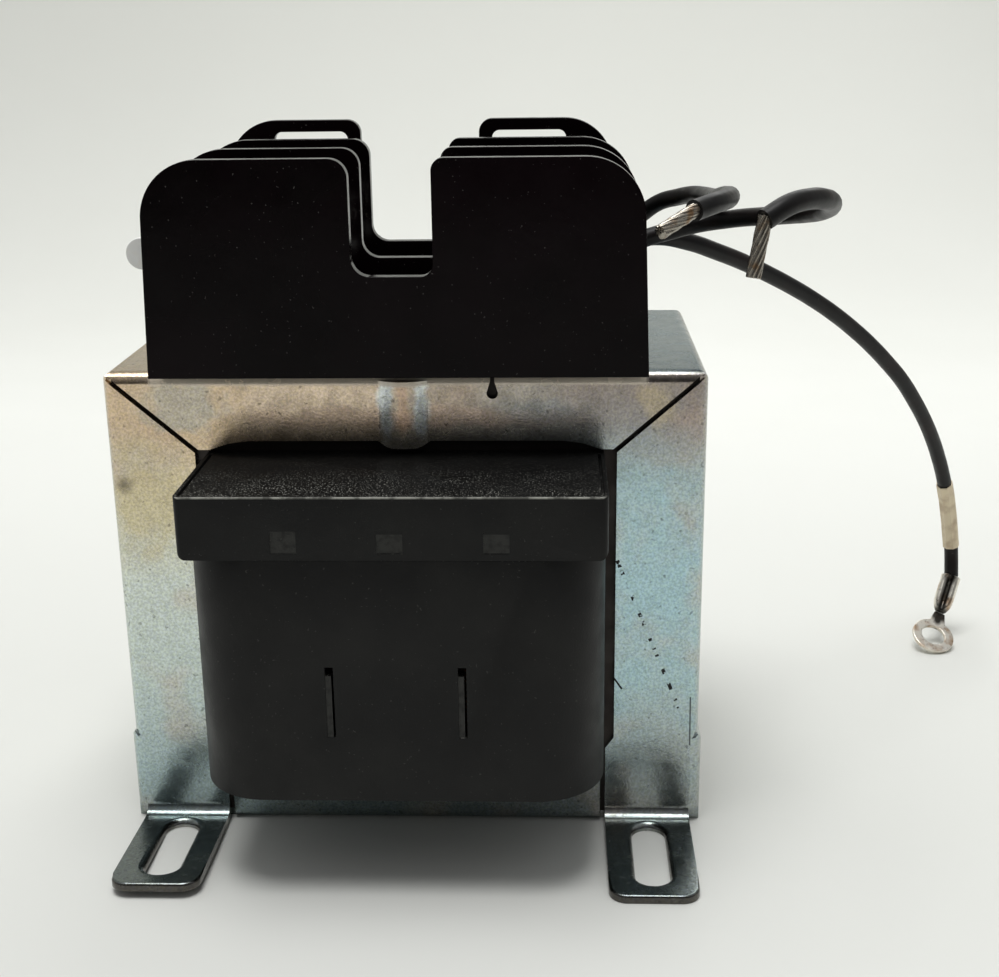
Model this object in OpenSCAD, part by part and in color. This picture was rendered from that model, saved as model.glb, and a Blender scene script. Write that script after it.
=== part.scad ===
// Open-style control transformer: a folded sheet-steel frame round a
// laminated core, moulded coil covers at front and rear, and a fuse block
// with barrier walls on top. X runs along the block, Y from front to rear,
// Z up from the face that the feet stand on. All sizes in millimetres.

/* [Frame] */

// Overall width across the two frame sides
frame_w = 99.5; // [80:0.5:130]
// Overall height from the feet to the top of the frame
frame_h = 82; // [70:0.1:110]
// Depth from the front flange face to the rear flange face
frame_d = 55; // [40:0.5:90]
// Thickness of the frame sheet
sheet_t = 1.4; // [1:0.1:2]
// Outer radius of the folded frame edges
fold_r = 2; // [1.6:0.1:3]
// Width of the two side flanges beside the opening
side_flange_w = 14.75; // [12:0.05:16]
// Height of the upper flange above the opening
upper_flange_h = 13.1; // [10:0.1:17]
// Height of the relief along the lower edge of that flange
edge_relief = 1.5; // [0:0.1:3]
// Height of the floor channel flanges
floor_flange_h = 14.5; // [8:0.1:16]
// Height by which the lower band of each side stands proud
side_swell = 0.6; // [0.2:0.1:1.2]
// Height of that proud band
swell_h = 17.5; // [12:0.5:25]
// Width of the mitre slits between the flanges
mitre_w = 0.8; // [0.4:0.1:1.2]
// Width of the pressed bead in the middle of the upper flange
bead_w = 8; // [4:0.2:10]
// Height by which the bead stands proud
bead_out = 1.5; // [0.8:0.1:2.5]
// Distance of the bead from the edge of the opening
bead_low = 0.5; // [0.1:0.1:2]
// Distance of the bead from the underside of the top sheet
bead_high = 0; // [0:0.1:2]
// Distance of the teardrop hole from the middle
tear_x = 14.6; // [8:0.1:25]
// Radius of the round end of the teardrop hole
tear_r = 0.93; // [0.5:0.01:1.5]
// Height of that round end above the opening
tear_rise = 9.5; // [7:0.1:11]
// Width of the slit above that round end, which runs out over the fold
tear_slit = 0.7; // [0.3:0.05:1]
// Height of the taper between the round end and the slit
tear_taper = 2; // [1:0.1:3]

/* [Feet] */

// Width of one foot
foot_w = 14.8; // [12:0.1:18]
// Distance of the outer edge of a foot from the frame side
foot_edge = 1.4; // [0.5:0.1:2]
// Height of the slanted step from a foot to the side flange
foot_step = 2; // [1:0.1:3]
// Drop of the bend relief below the inside of the bend
relief_drop = 0.8; // [0.4:0.1:1.4]
// Reach of a foot beyond the flange face
foot_out = 25.8; // [18:0.1:35]
// Inside radius of the bend into the foot
foot_bend_r = 2; // [1:0.1:4]
// Corner radius at the end of a foot
foot_corner_r = 3; // [1:0.1:6]
// Width of the mounting slot
slot_w = 5.8; // [4:0.1:8]
// Length of the mounting slot from end to end
slot_l = 18.9; // [10:0.1:20]
// Distance from the flange face to the middle of the slot
slot_y = 12.6; // [12:0.1:20]

/* [Core and coil] */

// Height of the core yokes
yoke_h = 15.8; // [12:0.1:20]
// Width of the middle leg of the core
leg_w = 31.8; // [24:0.1:40]
// Width of each of the two outer legs of the core
side_leg_w = 15.9; // [12:0.1:20]
// Wall of the coil former
former_t = 1.2; // [0.8:0.1:2]
// Clearance between the coil former and the core
former_gap = 0.4; // [0.2:0.1:1]
// Clearance between the winding and the coil cover
winding_gap = 2.6; // [1.5:0.1:5]

/* [Coil covers] */

// Gap between the cover body and each side flange
cover_side_gap = 2.2; // [1:0.1:4]
// Reach of the cover in front of the flange face
cover_out = 24.3; // [18:0.1:35]
// Gap between the cover and the floor flange below it
cover_floor_gap = 2.9; // [1:0.1:6]
// Gap between the terminal cap and the upper flange
cap_gap = 0.5; // [0:0.1:2]
// Height of the terminal cap
cap_h = 10.1; // [6:0.1:12]
// Amount that the cap stands proud of the body at each end
cap_lip = 0.1; // [0:0.1:1]
// Wall thickness of cover and cap
cover_t = 1.8; // [1:0.1:3]
// Corner radius of the cover body
cover_r = 11; // [5:0.5:16]
// Distance of the two thin slots from the middle
vent_x = 10.4; // [5:0.1:20]
// Width of those slots
vent_w = 1.3; // [0.5:0.1:2]
// Height of the lower end of those slots above the underside
vent_rise = 11.2; // [6:0.1:24]
// Length of those slots
vent_l = 12; // [6:0.5:20]
// Width of the open part of the slots beside their tongues
vent_open = 0.35; // [0.1:0.05:0.8]
// Depth of the tongues below the face of the cover
vent_sunk = 0.2; // [0.1:0.05:0.8]
// Length of the open pit above the tongues
vent_pit = 1.5; // [0.5:0.1:4]
// Distance between the three shallow marks on the cap
mark_pitch = 16.2; // [10:0.1:20]
// Width of those marks
mark_w = 4; // [2:0.1:6]
// Height of those marks
mark_h = 3.6; // [1:0.1:5]
// Height of those marks above the lower edge of the cap
mark_rise = 1.1; // [0.3:0.1:4]
// Radius of the two lower corners of the cap
cap_corner = 1.5; // [0.5:0.1:3]

/* [Fuse block] */

// Length of the barrier walls at their foot
wall_l = 80.3; // [70:0.1:90]
// Draft of a wall end between its foot and its round shoulder
wall_draft = 0.85; // [0:0.05:2]
// Height of the barrier walls
wall_h = 34.4; // [28:0.1:40]
// Thickness of a barrier wall
wall_t = 2.2; // [1.5:0.1:3.5]
// Radius of the outer shoulders of a wall
shoulder_r = 9.3; // [4:0.1:12]
// Distance from one barrier wall to the next
wall_pitch = 20.2; // [17:0.1:24]
// Overhang of the first wall in front of the flange face
block_front = 4.4; // [0:0.1:8]
// Sideways offset of the block from the middle of the frame
block_x = -0.4; // [-2:0.1:2]
// Height of the bottom of the finger notch
notch_z = 16.2; // [15:0.1:22]
// Distance from the middle to the left edge of the notch
notch_left = 6.7; // [5:0.1:9]
// Growth of that distance from one wall to the next one behind
notch_step = 0.7; // [0:0.1:1.5]
// Distance from the middle to the right edge of the notch
notch_right = 6.2; // [5:0.1:9]
// Height of the platform that carries the metal parts
deck_h = 14.5; // [12:0.1:15]
// Height of the trough between the clips
trough_h = 9; // [5:0.1:12]
// Half width of that trough
trough_half = 9; // [8:0.1:9.5]
// Amount that the platform ends stay back from the wall ends
deck_back = 0.5; // [0.2:0.1:2]

/* [End plate] */

// Length of the windowed end plate
ear_l = 74.4; // [60:0.1:85]
// Height of the end plate above the frame
ear_h = 36.6; // [30:0.1:42]
// Thickness of the end plate
ear_t = 2.2; // [1.5:0.1:3.5]
// Radius of the outer shoulders of the end plate
ear_r = 9.5; // [4:0.1:12]
// Sideways offset of the end plate from the block
ear_x = -0.8; // [-2:0.1:2]
// Half width of the gap between the two ears
ear_gap_half = 11.4; // [9:0.1:14]
// Height of the bottom of that gap
ear_gap_z = 13; // [8:0.1:20]
// Width of a window
window_w = 14.2; // [10:0.1:18]
// Height of a window
window_h = 12; // [6:0.1:16]
// Width of the bar between the gap and a window
window_bar = 2.5; // [1.8:0.1:4]
// Thickness of the bar over a window
window_top = 2.2; // [1.5:0.1:4]

/* [Clips and terminals] */

// Diameter of the fuse that the clips take
fuse_d = 10.3; // [8:0.1:14]
// Sheet thickness of clips, strips and lug
clip_t = 0.8; // [0.5:0.1:1.2]
// Length of a clip along the fuse
clip_l = 9; // [6:0.1:10]
// Distance from the middle of the block to the inner end of a clip
clip_in = 10; // [9.8:0.1:14]
// Distance from the middle of the block to the outer end of a strip
strip_out = 36; // [34:0.1:38]
// Distance from the middle of the block to a terminal screw
term_x = 30.5; // [28:0.1:32]
// Shank diameter of a terminal screw
term_screw_d = 3.8; // [3:0.1:4.5]
// Head diameter of a terminal screw
term_head_d = 7; // [5:0.1:8]
// Height of the head of a terminal screw
term_head_h = 2.4; // [1.5:0.1:3.5]
// Length of the shank below the platform
term_screw_l = 7; // [4:0.5:10]
// Thickness of a pressure plate
plate_t = 1.2; // [0.8:0.1:2]
// Length of a pressure plate
plate_l = 8.6; // [7:0.1:9.5]
// Diameter of the bare conductor under a pressure plate
core_wire_d = 2; // [1.4:0.1:2.6]
// Sideways distance of a conductor from its screw
wire_side = 2.9; // [2.9:0.1:3.3]
// Shank diameter of the screws that hold the block
fix_d = 3.5; // [2.5:0.1:4.5]
// Head diameter of those screws
fix_head_d = 7; // [5:0.1:9]
// Head height of those screws
fix_head_h = 2.2; // [1.5:0.1:3]
// Radius of the round end of the lug
lug_r = 2.6; // [2:0.1:3]
// Width of the flat of the lug
lug_w = 6; // [5:0.1:8]
// Reach of that flat behind the screw
lug_back = 4; // [3:0.1:5]
// Height of the tongue's lower edge above the strip
lug_rise = 1; // [0.5:0.1:2]
// Distance from the middle of the block to the tip of the lug
lug_out = 44.4; // [42:0.1:46]

/* [Leads] */

// Outer diameter of the insulated leads
lead_d = 3.1; // [2.8:0.1:3.4]
// Outer diameter of the bare strand ends
strand_d = 2.2; // [1.8:0.1:2.6]
// Outer diameter of the marker sleeve
sleeve_d = 3.7; // [3.5:0.1:4.4]
// Clearance inside the marker sleeve
sleeve_gap = 0.08; // [0.02:0.01:0.15]
// Outer diameter of the ring of the ring terminal
ring_d = 9.3; // [8:0.1:10]
// Hole diameter of the ring terminal
ring_hole_d = 5.3; // [4:0.1:5.5]
// Sheet thickness of the ring terminal
ring_t = 0.9; // [0.7:0.1:1.2]
// Diameter of the crimp barrel
barrel_d = 4.3; // [3.8:0.1:4.8]
// Length from the middle of the ring to the end of the barrel
tongue_l = 8; // [6.5:0.1:10]
// Width of the tongue between ring and barrel
tongue_w = 3.8; // [3:0.1:4.2]
// Lean of the ring's face from level
ring_lean = 30; // [20:5:80]
// Direction that the ring's face leans to, round the upright
ring_yaw = -70; // [-90:5:-50]
// Direction of the tongue in the plane of the ring
ring_turn = 140; // [120:5:160]

/* [Hidden] */

$fn = 64;
eps = 0.01;

core_w = frame_w - 2 * sheet_t;
core_d = frame_d - 2 * sheet_t;
core_top = frame_h - sheet_t;
core_face = core_d / 2;
face = frame_d / 2;
opening_half = frame_w / 2 - side_flange_w;
opening_top = frame_h - upper_flange_h;
foot_in = frame_w / 2 - foot_edge - foot_w;
bridge_z = sheet_t + yoke_h;
window_z1 = core_top - yoke_h;
core_window = core_w / 2 - side_leg_w;

cover_half = opening_half - cover_side_gap;
cap_half = cover_half + cap_lip;
cover_face = face + cover_out;
cover_z = floor_flange_h + cover_floor_gap;
cap_top = opening_top - cap_gap;
cap_z = cap_top - cap_h;
vent_z = cover_z + vent_rise;

former_z0 = cover_z + cover_t;
former_z1 = window_z1 - former_gap;
former_in_x = leg_w / 2 + former_gap;
former_in_y = core_face + former_gap;
former_half = cover_half - cover_t - former_gap;
wind_half = former_half - former_t / 2;
wind_y = cover_face - cover_t - winding_gap;
wind_r = cover_r - cover_t;

deck_z = frame_h + deck_h;
strip_z = deck_z + clip_t;
clip_r = fuse_d / 2;
fuse_z = deck_z + clip_t + clip_r;
wall_y = [for (i = [0:2]) -face - block_front + i * wall_pitch];
ear_y = wall_y[0] + 3 * wall_pitch;
bay_y = [for (i = [0:2]) wall_y[i] + (wall_t + wall_pitch) / 2];
wire_z = strip_z + core_wire_d / 2;
clamp_z = strip_z + core_wire_d;
lead_x = 36;
stub_in = block_x + term_x - plate_l / 2;

// Routes of the three leads, from the terminal outward.
lead_1_path = [
    [lead_x, bay_y[2] - wire_side, wire_z],
    [39.9, 17.1, 100.9],
    [43.8, 16.2, 103.8],
    [47.3, 13.1, 105.2],
    [49.5, 8.7, 106.1],
    [50.8, 3.8, 106.5],
    [51.5, -1.2, 106.8],
    [51.7, -6.3, 107.2],
    [51.7, -11.4, 107.7],
    [51.6, -16.4, 108.4],
    [51.6, -21.5, 109.1],
    [51.5, -26.5, 109.7],
    [51.4, -31.6, 110.2],
    [50.9, -36.6, 110.7],
    [49.9, -41.6, 110.9],
    [47.8, -46.2, 110.9],
    [44.5, -50, 110.3]
];
lead_2_path = [
    [lead_x, bay_y[1] - wire_side, wire_z],
    [40.4, -3.3, 100],
    [45, -3.3, 101.3],
    [49.5, -4, 102.5],
    [53.7, -6, 103.4],
    [57.4, -9, 104.2],
    [60.4, -12.6, 104.8],
    [62.8, -16.6, 105.5],
    [64.7, -20.9, 106.2],
    [65.9, -25.4, 107],
    [66.5, -30, 108],
    [66.4, -34.6, 109],
    [65.5, -39.2, 110.1],
    [63.8, -43.5, 111],
    [61.1, -47.4, 111.5],
    [57.7, -50.6, 111.1],
    [54, -53, 109.3]
];
lead_3_path = [
    [lead_x, bay_y[1] + wire_side, wire_z],
    [42.6, 3, 99.4],
    [48.7, 5.3, 98.1],
    [54.3, 8.4, 95.8],
    [59.6, 11.9, 93.3],
    [64.7, 15.4, 90.5],
    [69.6, 18.9, 87.6],
    [74.5, 22.4, 84.4],
    [79.3, 25.8, 80.9],
    [83.8, 29.3, 77.2],
    [88.2, 32.7, 73.2],
    [92.3, 36.1, 69],
    [96.3, 39.5, 64.5],
    [99.8, 42.9, 59.7],
    [103, 46.2, 54.8],
    [106, 49.7, 49.5],
    [108.6, 53, 44.1],
    [110.9, 56.1, 38.5],
    [112.9, 59.1, 32.6],
    [114.5, 61.4, 26.4],
    [115.7, 62.4, 19.7],
    [116, 61.3, 13]
];
strand_1_end = [39.5, -54, 107.8];
strand_2_end = [52.6, -54, 101.4];
ring_mid = [109.9, 50.24,
            ring_d / 2 * sin(ring_lean) + ring_t / 2 * cos(ring_lean) + 0.02];
tongue_dir = [
    cos(ring_lean) * cos(ring_yaw) * cos(ring_turn) - sin(ring_yaw) * sin(ring_turn),
    cos(ring_lean) * sin(ring_yaw) * cos(ring_turn) + cos(ring_yaw) * sin(ring_turn),
    -sin(ring_lean) * cos(ring_turn)
];
barrel_end = ring_mid + tongue_l * tongue_dir;

// Colours of the pieces.
steel_c = [0.66, 0.68, 0.64];
iron_c = [0.35, 0.34, 0.33];
black_c = [0.06, 0.05, 0.06];
cover_c = [0.13, 0.13, 0.12];
former_c = [0.75, 0.72, 0.62];
copper_c = [0.72, 0.42, 0.22];
tin_c = [0.75, 0.75, 0.73];
brass_c = [0.72, 0.62, 0.36];
sleeve_c = [0.80, 0.75, 0.62];

// Sub-part to show

// A rectangle round the origin with round corners.
module round_rect(w, h, r) {
    square([w - 2 * r, h], center = true);
    square([w, h - 2 * r], center = true);
    for (x = [-1, 1], y = [-1, 1])
        translate([x * (w / 2 - r), y * (h / 2 - r)])
            circle(r);
}

// A box on the XY plane whose twelve edges are rolled to radius r.
module rolled_box(w, d, z0, z1, r) {
    mid = (z0 + z1) / 2;
    intersection() {
        translate([0, 0, z0])
            linear_extrude(z1 - z0)
                round_rect(w, d, r);
        translate([0, d / 2, mid])
            rotate([90, 0, 0])
                linear_extrude(d)
                    round_rect(w, z1 - z0, r);
        translate([-w / 2, 0, mid])
            rotate([90, 0, 90])
                linear_extrude(w)
                    round_rect(d, z1 - z0, r);
    }
}

// Extrudes an XZ outline from y0 towards the rear.
module along_y(y0, d) {
    translate([0, y0 + d, 0])
        rotate([90, 0, 0])
            linear_extrude(d)
                children();
}

// Extrudes a YZ outline from x0 to the right.
module along_x(x0, w) {
    translate([x0, 0, 0])
        rotate([90, 0, 90])
            linear_extrude(w)
                children();
}

// Repeats a piece at the front and, mirrored, at the rear.
module front_and_rear() {
    children();
    mirror([0, 1, 0])
        children();
}

// Repeats a piece on the right and, mirrored, on the left.
module right_and_left() {
    children();
    mirror([1, 0, 0])
        children();
}

// A bent foot on the right of the front face.
module foot() {
    bend_z = sheet_t + foot_bend_r;
    bend_y = -face - foot_bend_r;
    toe_y = -face - foot_out;
    difference() {
        union() {
            along_x(foot_in, foot_w) {
                intersection() {
                    translate([bend_y, bend_z])
                        difference() {
                            circle(foot_bend_r + sheet_t);
                            circle(foot_bend_r);
                        }
                    translate([bend_y, 0])
                        square(bend_z);
                }
                translate([toe_y, 0])
                    square([bend_y - toe_y, sheet_t]);
                translate([-face, bend_z])
                    square([sheet_t, floor_flange_h - bend_z]);
            }
            along_y(-face, sheet_t)
                polygon([
                    [foot_in, bend_z + foot_step], [foot_in + foot_w, bend_z + foot_step],
                    [foot_in + foot_w, floor_flange_h + foot_step],
                    [opening_half, floor_flange_h + foot_step],
                    [foot_in, floor_flange_h]
                ]);
        }
        translate([foot_in + foot_w / 2, 0, -1])
            right_and_left()
                translate([foot_w / 2 - foot_corner_r, toe_y + foot_corner_r, 0])
                    linear_extrude(sheet_t + 2)
                        mirror([0, 1])
                            corner_cut(foot_corner_r);
        slot_hole();
    }
}

// The mounting slot of the foot on the right of the front face.
module slot_hole() {
    run = (slot_l - slot_w) / 2;
    translate([foot_in + foot_w / 2, -face - slot_y, -1]) {
        for (y = [-run, run])
            translate([0, y, 0])
                cylinder(d = slot_w, h = sheet_t + 2);
        translate([-slot_w / 2, -run, 0])
            cube([slot_w, 2 * run, sheet_t + 2]);
    }
}

// One mitre slit, from the upper right corner to the opening.
module mitre_slit() {
    x1 = core_w / 2;
    z1 = core_top;
    dx = x1 - opening_half;
    dz = z1 - opening_top;
    translate([x1, -face - 1, z1])
        rotate([0, 180 + atan2(dx, dz), 0])
            translate([-mitre_w / 2, 0, -0.75 * mitre_w])
                cube([mitre_w, sheet_t + 1, norm([dx, dz]) + 2.5 * mitre_w]);
}

// The pressed bead in the middle of the upper flange, and its hollow.
module bead(grow) {
    r = (pow(bead_w / 2, 2) + pow(bead_out, 2)) / (2 * bead_out);
    translate([0, -face - bead_out + r, opening_top + bead_low - grow])
        cylinder(r = r + grow, h = core_top - opening_top - bead_low - bead_high + grow);
}

// The teardrop hole, and its slit over the fold.
module teardrop_hole() {
    z = opening_top + tear_rise;
    half = tear_slit / 2;
    r = 0.97 * tear_r;
    turn = atan2(tear_taper, half) - acos(tear_r / norm([half, tear_taper]));
    translate([tear_x, sheet_t + 1 - face, 0])
        rotate([90, 0, 0])
            linear_extrude(sheet_t + 2) {
                translate([0, z])
                    circle(tear_r);
                polygon([
                    [-r * cos(turn), z + r * sin(turn)], [-half, z + tear_taper],
                    [-half, frame_h + 1], [half, frame_h + 1], [half, z + tear_taper],
                    [r * cos(turn), z + r * sin(turn)]
                ]);
            }
}

// The relief along the lower edge of the upper flange, round the bead's end.
module edge_cut() {
    z = opening_top;
    h = edge_relief;
    x1 = opening_half - 2.6;
    b = bead_w / 2;
    translate([0, 1 + sheet_t - face, 0])
        rotate([90, 0, 0])
            linear_extrude(sheet_t + bead_out + 2)
                polygon([
                    [-x1 - 2.9, z - 1], [3 - x1, z + 0.7 * h],
                    [6.5 - x1, z + h], [-b - 0.4, z + h], [-b + 0.1, z + 0.8 * h],
                    [-b + 1, z + 0.5 * h], [-b + 2.2, z + 0.28 * h], [0, z + 0.2 * h],
                    [b - 2.2, z + 0.28 * h], [b - 1, z + 0.5 * h], [b - 0.1, z + 0.8 * h],
                    [b + 0.4, z + h], [x1 - 6.5, z + h], [x1 - 3, z + 0.7 * h],
                    [x1 + 2.9, z - 1]
                ]);
}

module frame_wrap() {
    relief = sheet_t + foot_bend_r - relief_drop;
    color(steel_c)
        difference() {
            union() {
                difference() {
                    union() {
                        rolled_box(frame_w, frame_d, -frame_h, frame_h, fold_r);
                        rolled_box(frame_w + 2 * side_swell, frame_d, -frame_h, swell_h, fold_r);
                    }
                    translate([-core_w / 2, -core_face, -frame_h])
                        cube([core_w, core_d, core_top + frame_h]);
                    translate([-opening_half, -face - 1, -frame_h])
                        cube([2 * opening_half, frame_d + 2, opening_top + frame_h]);
                    translate([-frame_w, -frame_w, -2 * frame_h])
                        cube([2 * frame_w, 2 * frame_w, 2 * frame_h]);
                    front_and_rear()
                        right_and_left() {
                            translate([opening_half - 1, -face - 1, -1])
                                cube([foot_in + foot_w - opening_half + 1, sheet_t + 1,
                                      sheet_t + foot_bend_r + 1]);
                            translate([foot_in + foot_w - eps, -face - 1, -1])
                                cube([fold_r + 1, sheet_t + 1, relief + 1]);
                            mitre_slit();
                        }
                }
                front_and_rear() {
                    right_and_left()
                        foot();
                    intersection() {
                        bead(0);
                        translate([-bead_w, -face - bead_out - 1, 0])
                            cube([2 * bead_w, bead_out + 1 + sheet_t / 2, frame_h]);
                    }
                }
            }
            front_and_rear() {
                intersection() {
                    bead(-sheet_t);
                    translate([-bead_w, -face - bead_out - 1, 0])
                        cube([2 * bead_w, bead_out + 2 + sheet_t, frame_h]);
                }
                teardrop_hole();
                edge_cut();
            }
            translate([block_x, 0, 0])
                for (y = [bay_y[0], bay_y[2]])
                    translate([0, y, core_top - 1])
                        cylinder(d = fix_d, h = sheet_t + 2);
        }
}

module frame_floor() {
    lip = foot_in - mitre_w;
    color(steel_c) {
        intersection() {
            difference() {
                rolled_box(frame_w, frame_d, 0, frame_h, fold_r);
                translate([-frame_w, -core_face, sheet_t])
                    cube([2 * frame_w, core_d, frame_h]);
            }
            translate([-lip, -frame_d, 0])
                cube([2 * lip, 2 * frame_d, floor_flange_h]);
        }
        translate([-core_w / 2, -core_face, 0])
            cube([core_w, core_d, sheet_t]);
    }
}

module core_e_stack() {
    color(iron_c)
        difference() {
            translate([-core_w / 2, -core_face, bridge_z])
                cube([core_w, core_d, core_top - bridge_z]);
            right_and_left()
                translate([leg_w / 2, -core_face - 1, bridge_z - 1])
                    cube([core_window - leg_w / 2, core_d + 2,
                          window_z1 - bridge_z + 1]);
        }
}

module core_i_stack() {
    color(iron_c)
        translate([-core_w / 2, -core_face, sheet_t])
            cube([core_w, core_d, yoke_h]);
}

module coil_former() {
    tube_x = former_in_x + former_t;
    tube_y = former_in_y + former_t;
    color(former_c)
        difference() {
            union() {
                translate([-tube_x, -tube_y, former_z0])
                    cube([2 * tube_x, 2 * tube_y, former_z1 - former_z0]);
                for (z = [former_z0, former_z1 - former_t])
                    translate([0, 0, z])
                        linear_extrude(former_t)
                            round_rect(2 * former_half, 2 * wind_y + former_t, wind_r);
            }
            translate([-former_in_x, -former_in_y, former_z0 - 1])
                cube([2 * former_in_x, 2 * former_in_y, former_z1 - former_z0 + 2]);
        }
}

module coil_winding() {
    tube_x = former_in_x + former_t;
    tube_y = former_in_y + former_t;
    z0 = former_z0 + former_t;
    z1 = former_z1 - former_t;
    color(copper_c)
        difference() {
            translate([0, 0, z0])
                linear_extrude(z1 - z0)
                    round_rect(2 * wind_half, 2 * wind_y, wind_r);
            translate([-tube_x, -tube_y, z0 - 1])
                cube([2 * tube_x, 2 * tube_y, z1 - z0 + 2]);
        }
}

// Outline of the cover seen from above, open towards the core.
module cover_outline(half, y_face, r) {
    translate([-half, -y_face + r])
        square([2 * half, y_face - r - core_face]);
    translate([-half + r, -y_face])
        square([2 * (half - r), r]);
    for (x = [-half + r, half - r])
        translate([x, -y_face + r])
            circle(r);
}

module cover_room(z0, z1) {
    translate([0, eps, z0])
        linear_extrude(z1 - z0)
            cover_outline(cover_half - cover_t, cover_face - cover_t,
                          cover_r - cover_t);
}

// A slot of the cover: open along one side and at the top.
module vent_cut() {
    translate([vent_w / 2 - vent_open, -1, 0])
        cube([vent_open, cover_t + 2, vent_l]);
    translate([-vent_w / 2, -1, vent_l - vent_pit])
        cube([vent_w, cover_t + 2, vent_pit]);
    translate([-vent_w / 2, -1, 0])
        cube([vent_w, 1 + vent_sunk, vent_l]);
}

module coil_cover() {
    color(cover_c)
        difference() {
            translate([0, 0, cover_z])
                linear_extrude(cap_z - cover_z)
                    cover_outline(cover_half, cover_face, cover_r);
            cover_room(cover_z + cover_t, cap_z + 1);
            for (x = [-vent_x, vent_x])
                translate([x, -cover_face, vent_z])
                    vent_cut();
        }
}

module terminal_cap() {
    color(cover_c)
        difference() {
            intersection() {
                translate([0, 0, cap_z])
                    linear_extrude(cap_h)
                        cover_outline(cap_half, cover_face, 1);
                rotate([90, 0, 0])
                    linear_extrude(cover_face + 1) {
                        translate([-cap_half - 1, cap_z + cap_corner])
                            square([2 * cap_half + 2, cap_h]);
                        translate([cap_corner - cap_half, cap_z])
                            square([2 * (cap_half - cap_corner), cap_corner + 1]);
                        for (x = [-1, 1])
                            translate([x * (cap_half - cap_corner), cap_z + cap_corner])
                                circle(cap_corner);
                    }
            }
            cover_room(cap_z - 1, cap_top - cover_t);
            for (x = [-1, 1])
                translate([x * (cap_half - 0.85) - 0.25, -cover_face + 0.8,
                           cap_top - 0.8])
                    cube([0.5, cover_out - 1.5, 1]);
            for (i = [-1, 0, 1])
                translate([i * mark_pitch - mark_w / 2 - 0.2, -cover_face - 1,
                           cap_z + mark_rise])
                    cube([mark_w, 1.1, mark_h]);
        }
}

module front_coil_cover() {
    coil_cover();
}

module rear_coil_cover() {
    mirror([0, 1, 0])
        coil_cover();
}

module front_terminal_cap() {
    terminal_cap();
}

module rear_terminal_cap() {
    mirror([0, 1, 0])
        terminal_cap();
}

// The corner that a round of radius r cuts off, pointing to +X and +Z.
module corner_cut(r) {
    difference() {
        square(r + 1);
        circle(r);
    }
}

// Outline of a barrier wall, seen from the front, standing on Z = 0.
module wall_outline(i) {
    foot = wall_l / 2;
    side = foot - wall_draft;
    difference() {
        union() {
            polygon([
                [-foot, 0], [foot, 0], [side, wall_h - shoulder_r],
                [side - shoulder_r, wall_h], [shoulder_r - side, wall_h],
                [-side, wall_h - shoulder_r]
            ]);
            for (x = [side - shoulder_r, shoulder_r - side])
                translate([x, wall_h - shoulder_r])
                    circle(shoulder_r);
        }
        notch_outline(notch_left + i * notch_step);
    }
}

// The finger notch, wide and soft on its left side, tighter on its right.
module notch_outline(left) {
    soft = 3;
    tight = 2;
    translate([-left, notch_z + soft])
        square([left + notch_right, wall_h]);
    translate([-left + soft, notch_z])
        square([left + notch_right - soft - tight, soft + 1]);
    translate([notch_right - soft, notch_z + tight])
        square([soft, soft]);
    translate([-left + soft, notch_z + soft])
        circle(soft);
    translate([notch_right - tight, notch_z + tight])
        circle(tight);
    translate([-left - soft, wall_h - soft])
        corner_cut(soft);
    translate([notch_right + tight, wall_h - tight])
        mirror([1, 0])
            corner_cut(tight);
}

// Outline of the moulded base between the walls.
module base_outline() {
    end = wall_l / 2 - deck_back - wall_draft / 2;
    translate([-end, 0])
        square([2 * end, trough_h]);
    for (x = [-end, trough_half])
        translate([x, 0])
            square([end - trough_half, deck_h]);
}

module fuse_block() {
    color(black_c)
        translate([block_x, 0, frame_h])
            difference() {
                union() {
                    for (i = [0:2])
                        along_y(wall_y[i], wall_t)
                            wall_outline(i);
                    along_y(wall_y[0], ear_y - wall_y[0])
                        base_outline();
                }
                for (y = bay_y, x = [-term_x, term_x])
                    translate([x, y, deck_h - term_screw_l])
                        cylinder(d = term_screw_d, h = term_screw_l + 1);
                for (y = [bay_y[0], bay_y[2]])
                    translate([0, y, -1])
                        cylinder(d = fix_d, h = trough_h + 2);
            }
}

// Outline of the windowed end plate, standing on Z = 0.
module ear_outline() {
    half = ear_l / 2;
    soft = 2.6;
    difference() {
        union() {
            polygon([
                [-half, 0], [half, 0], [half, ear_h - ear_r],
                [half - ear_r, ear_h], [ear_r - half, ear_h],
                [-half, ear_h - ear_r]
            ]);
            for (x = [half - ear_r, ear_r - half])
                translate([x, ear_h - ear_r])
                    circle(ear_r);
        }
        translate([-ear_gap_half, ear_gap_z])
            square([2 * ear_gap_half, ear_h]);
        for (s = [0, 1])
            mirror([s, 0]) {
                translate([-ear_gap_half - soft, ear_h - soft])
                    corner_cut(soft);
                translate([ear_gap_half + window_bar + window_w / 2,
                           ear_h - window_top - window_h / 2])
                    round_rect(window_w, window_h, 1.5);
            }
    }
}

module end_plate() {
    color(black_c)
        translate([block_x + ear_x, 0, frame_h])
            along_y(ear_y, ear_t)
                ear_outline();
}

// Spring clip and terminal strip of one stamping, on the right of a bay.
module clip_strip(i) {
    width = clip_l;
    color(tin_c)
        translate([0, bay_y[i], 0])
            difference() {
                union() {
                    translate([clip_in, -width / 2, deck_z])
                        cube([strip_out - clip_in, width, clip_t]);
                    along_x(clip_in, clip_l) {
                        translate([0, fuse_z])
                            difference() {
                                circle(clip_r + clip_t);
                                circle(clip_r);
                                translate([-clip_r, clip_r * 0.72])
                                    square(2 * clip_r);
                            }
                        for (y = [-1, 1])
                            translate([y * (clip_r * 0.7 + clip_t), fuse_z + clip_r * 0.76])
                                circle(clip_t);
                    }
                }
                translate([term_x, 0, deck_z - 1])
                    cylinder(d = term_screw_d, h = clip_t + 2);
            }
}

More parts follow.
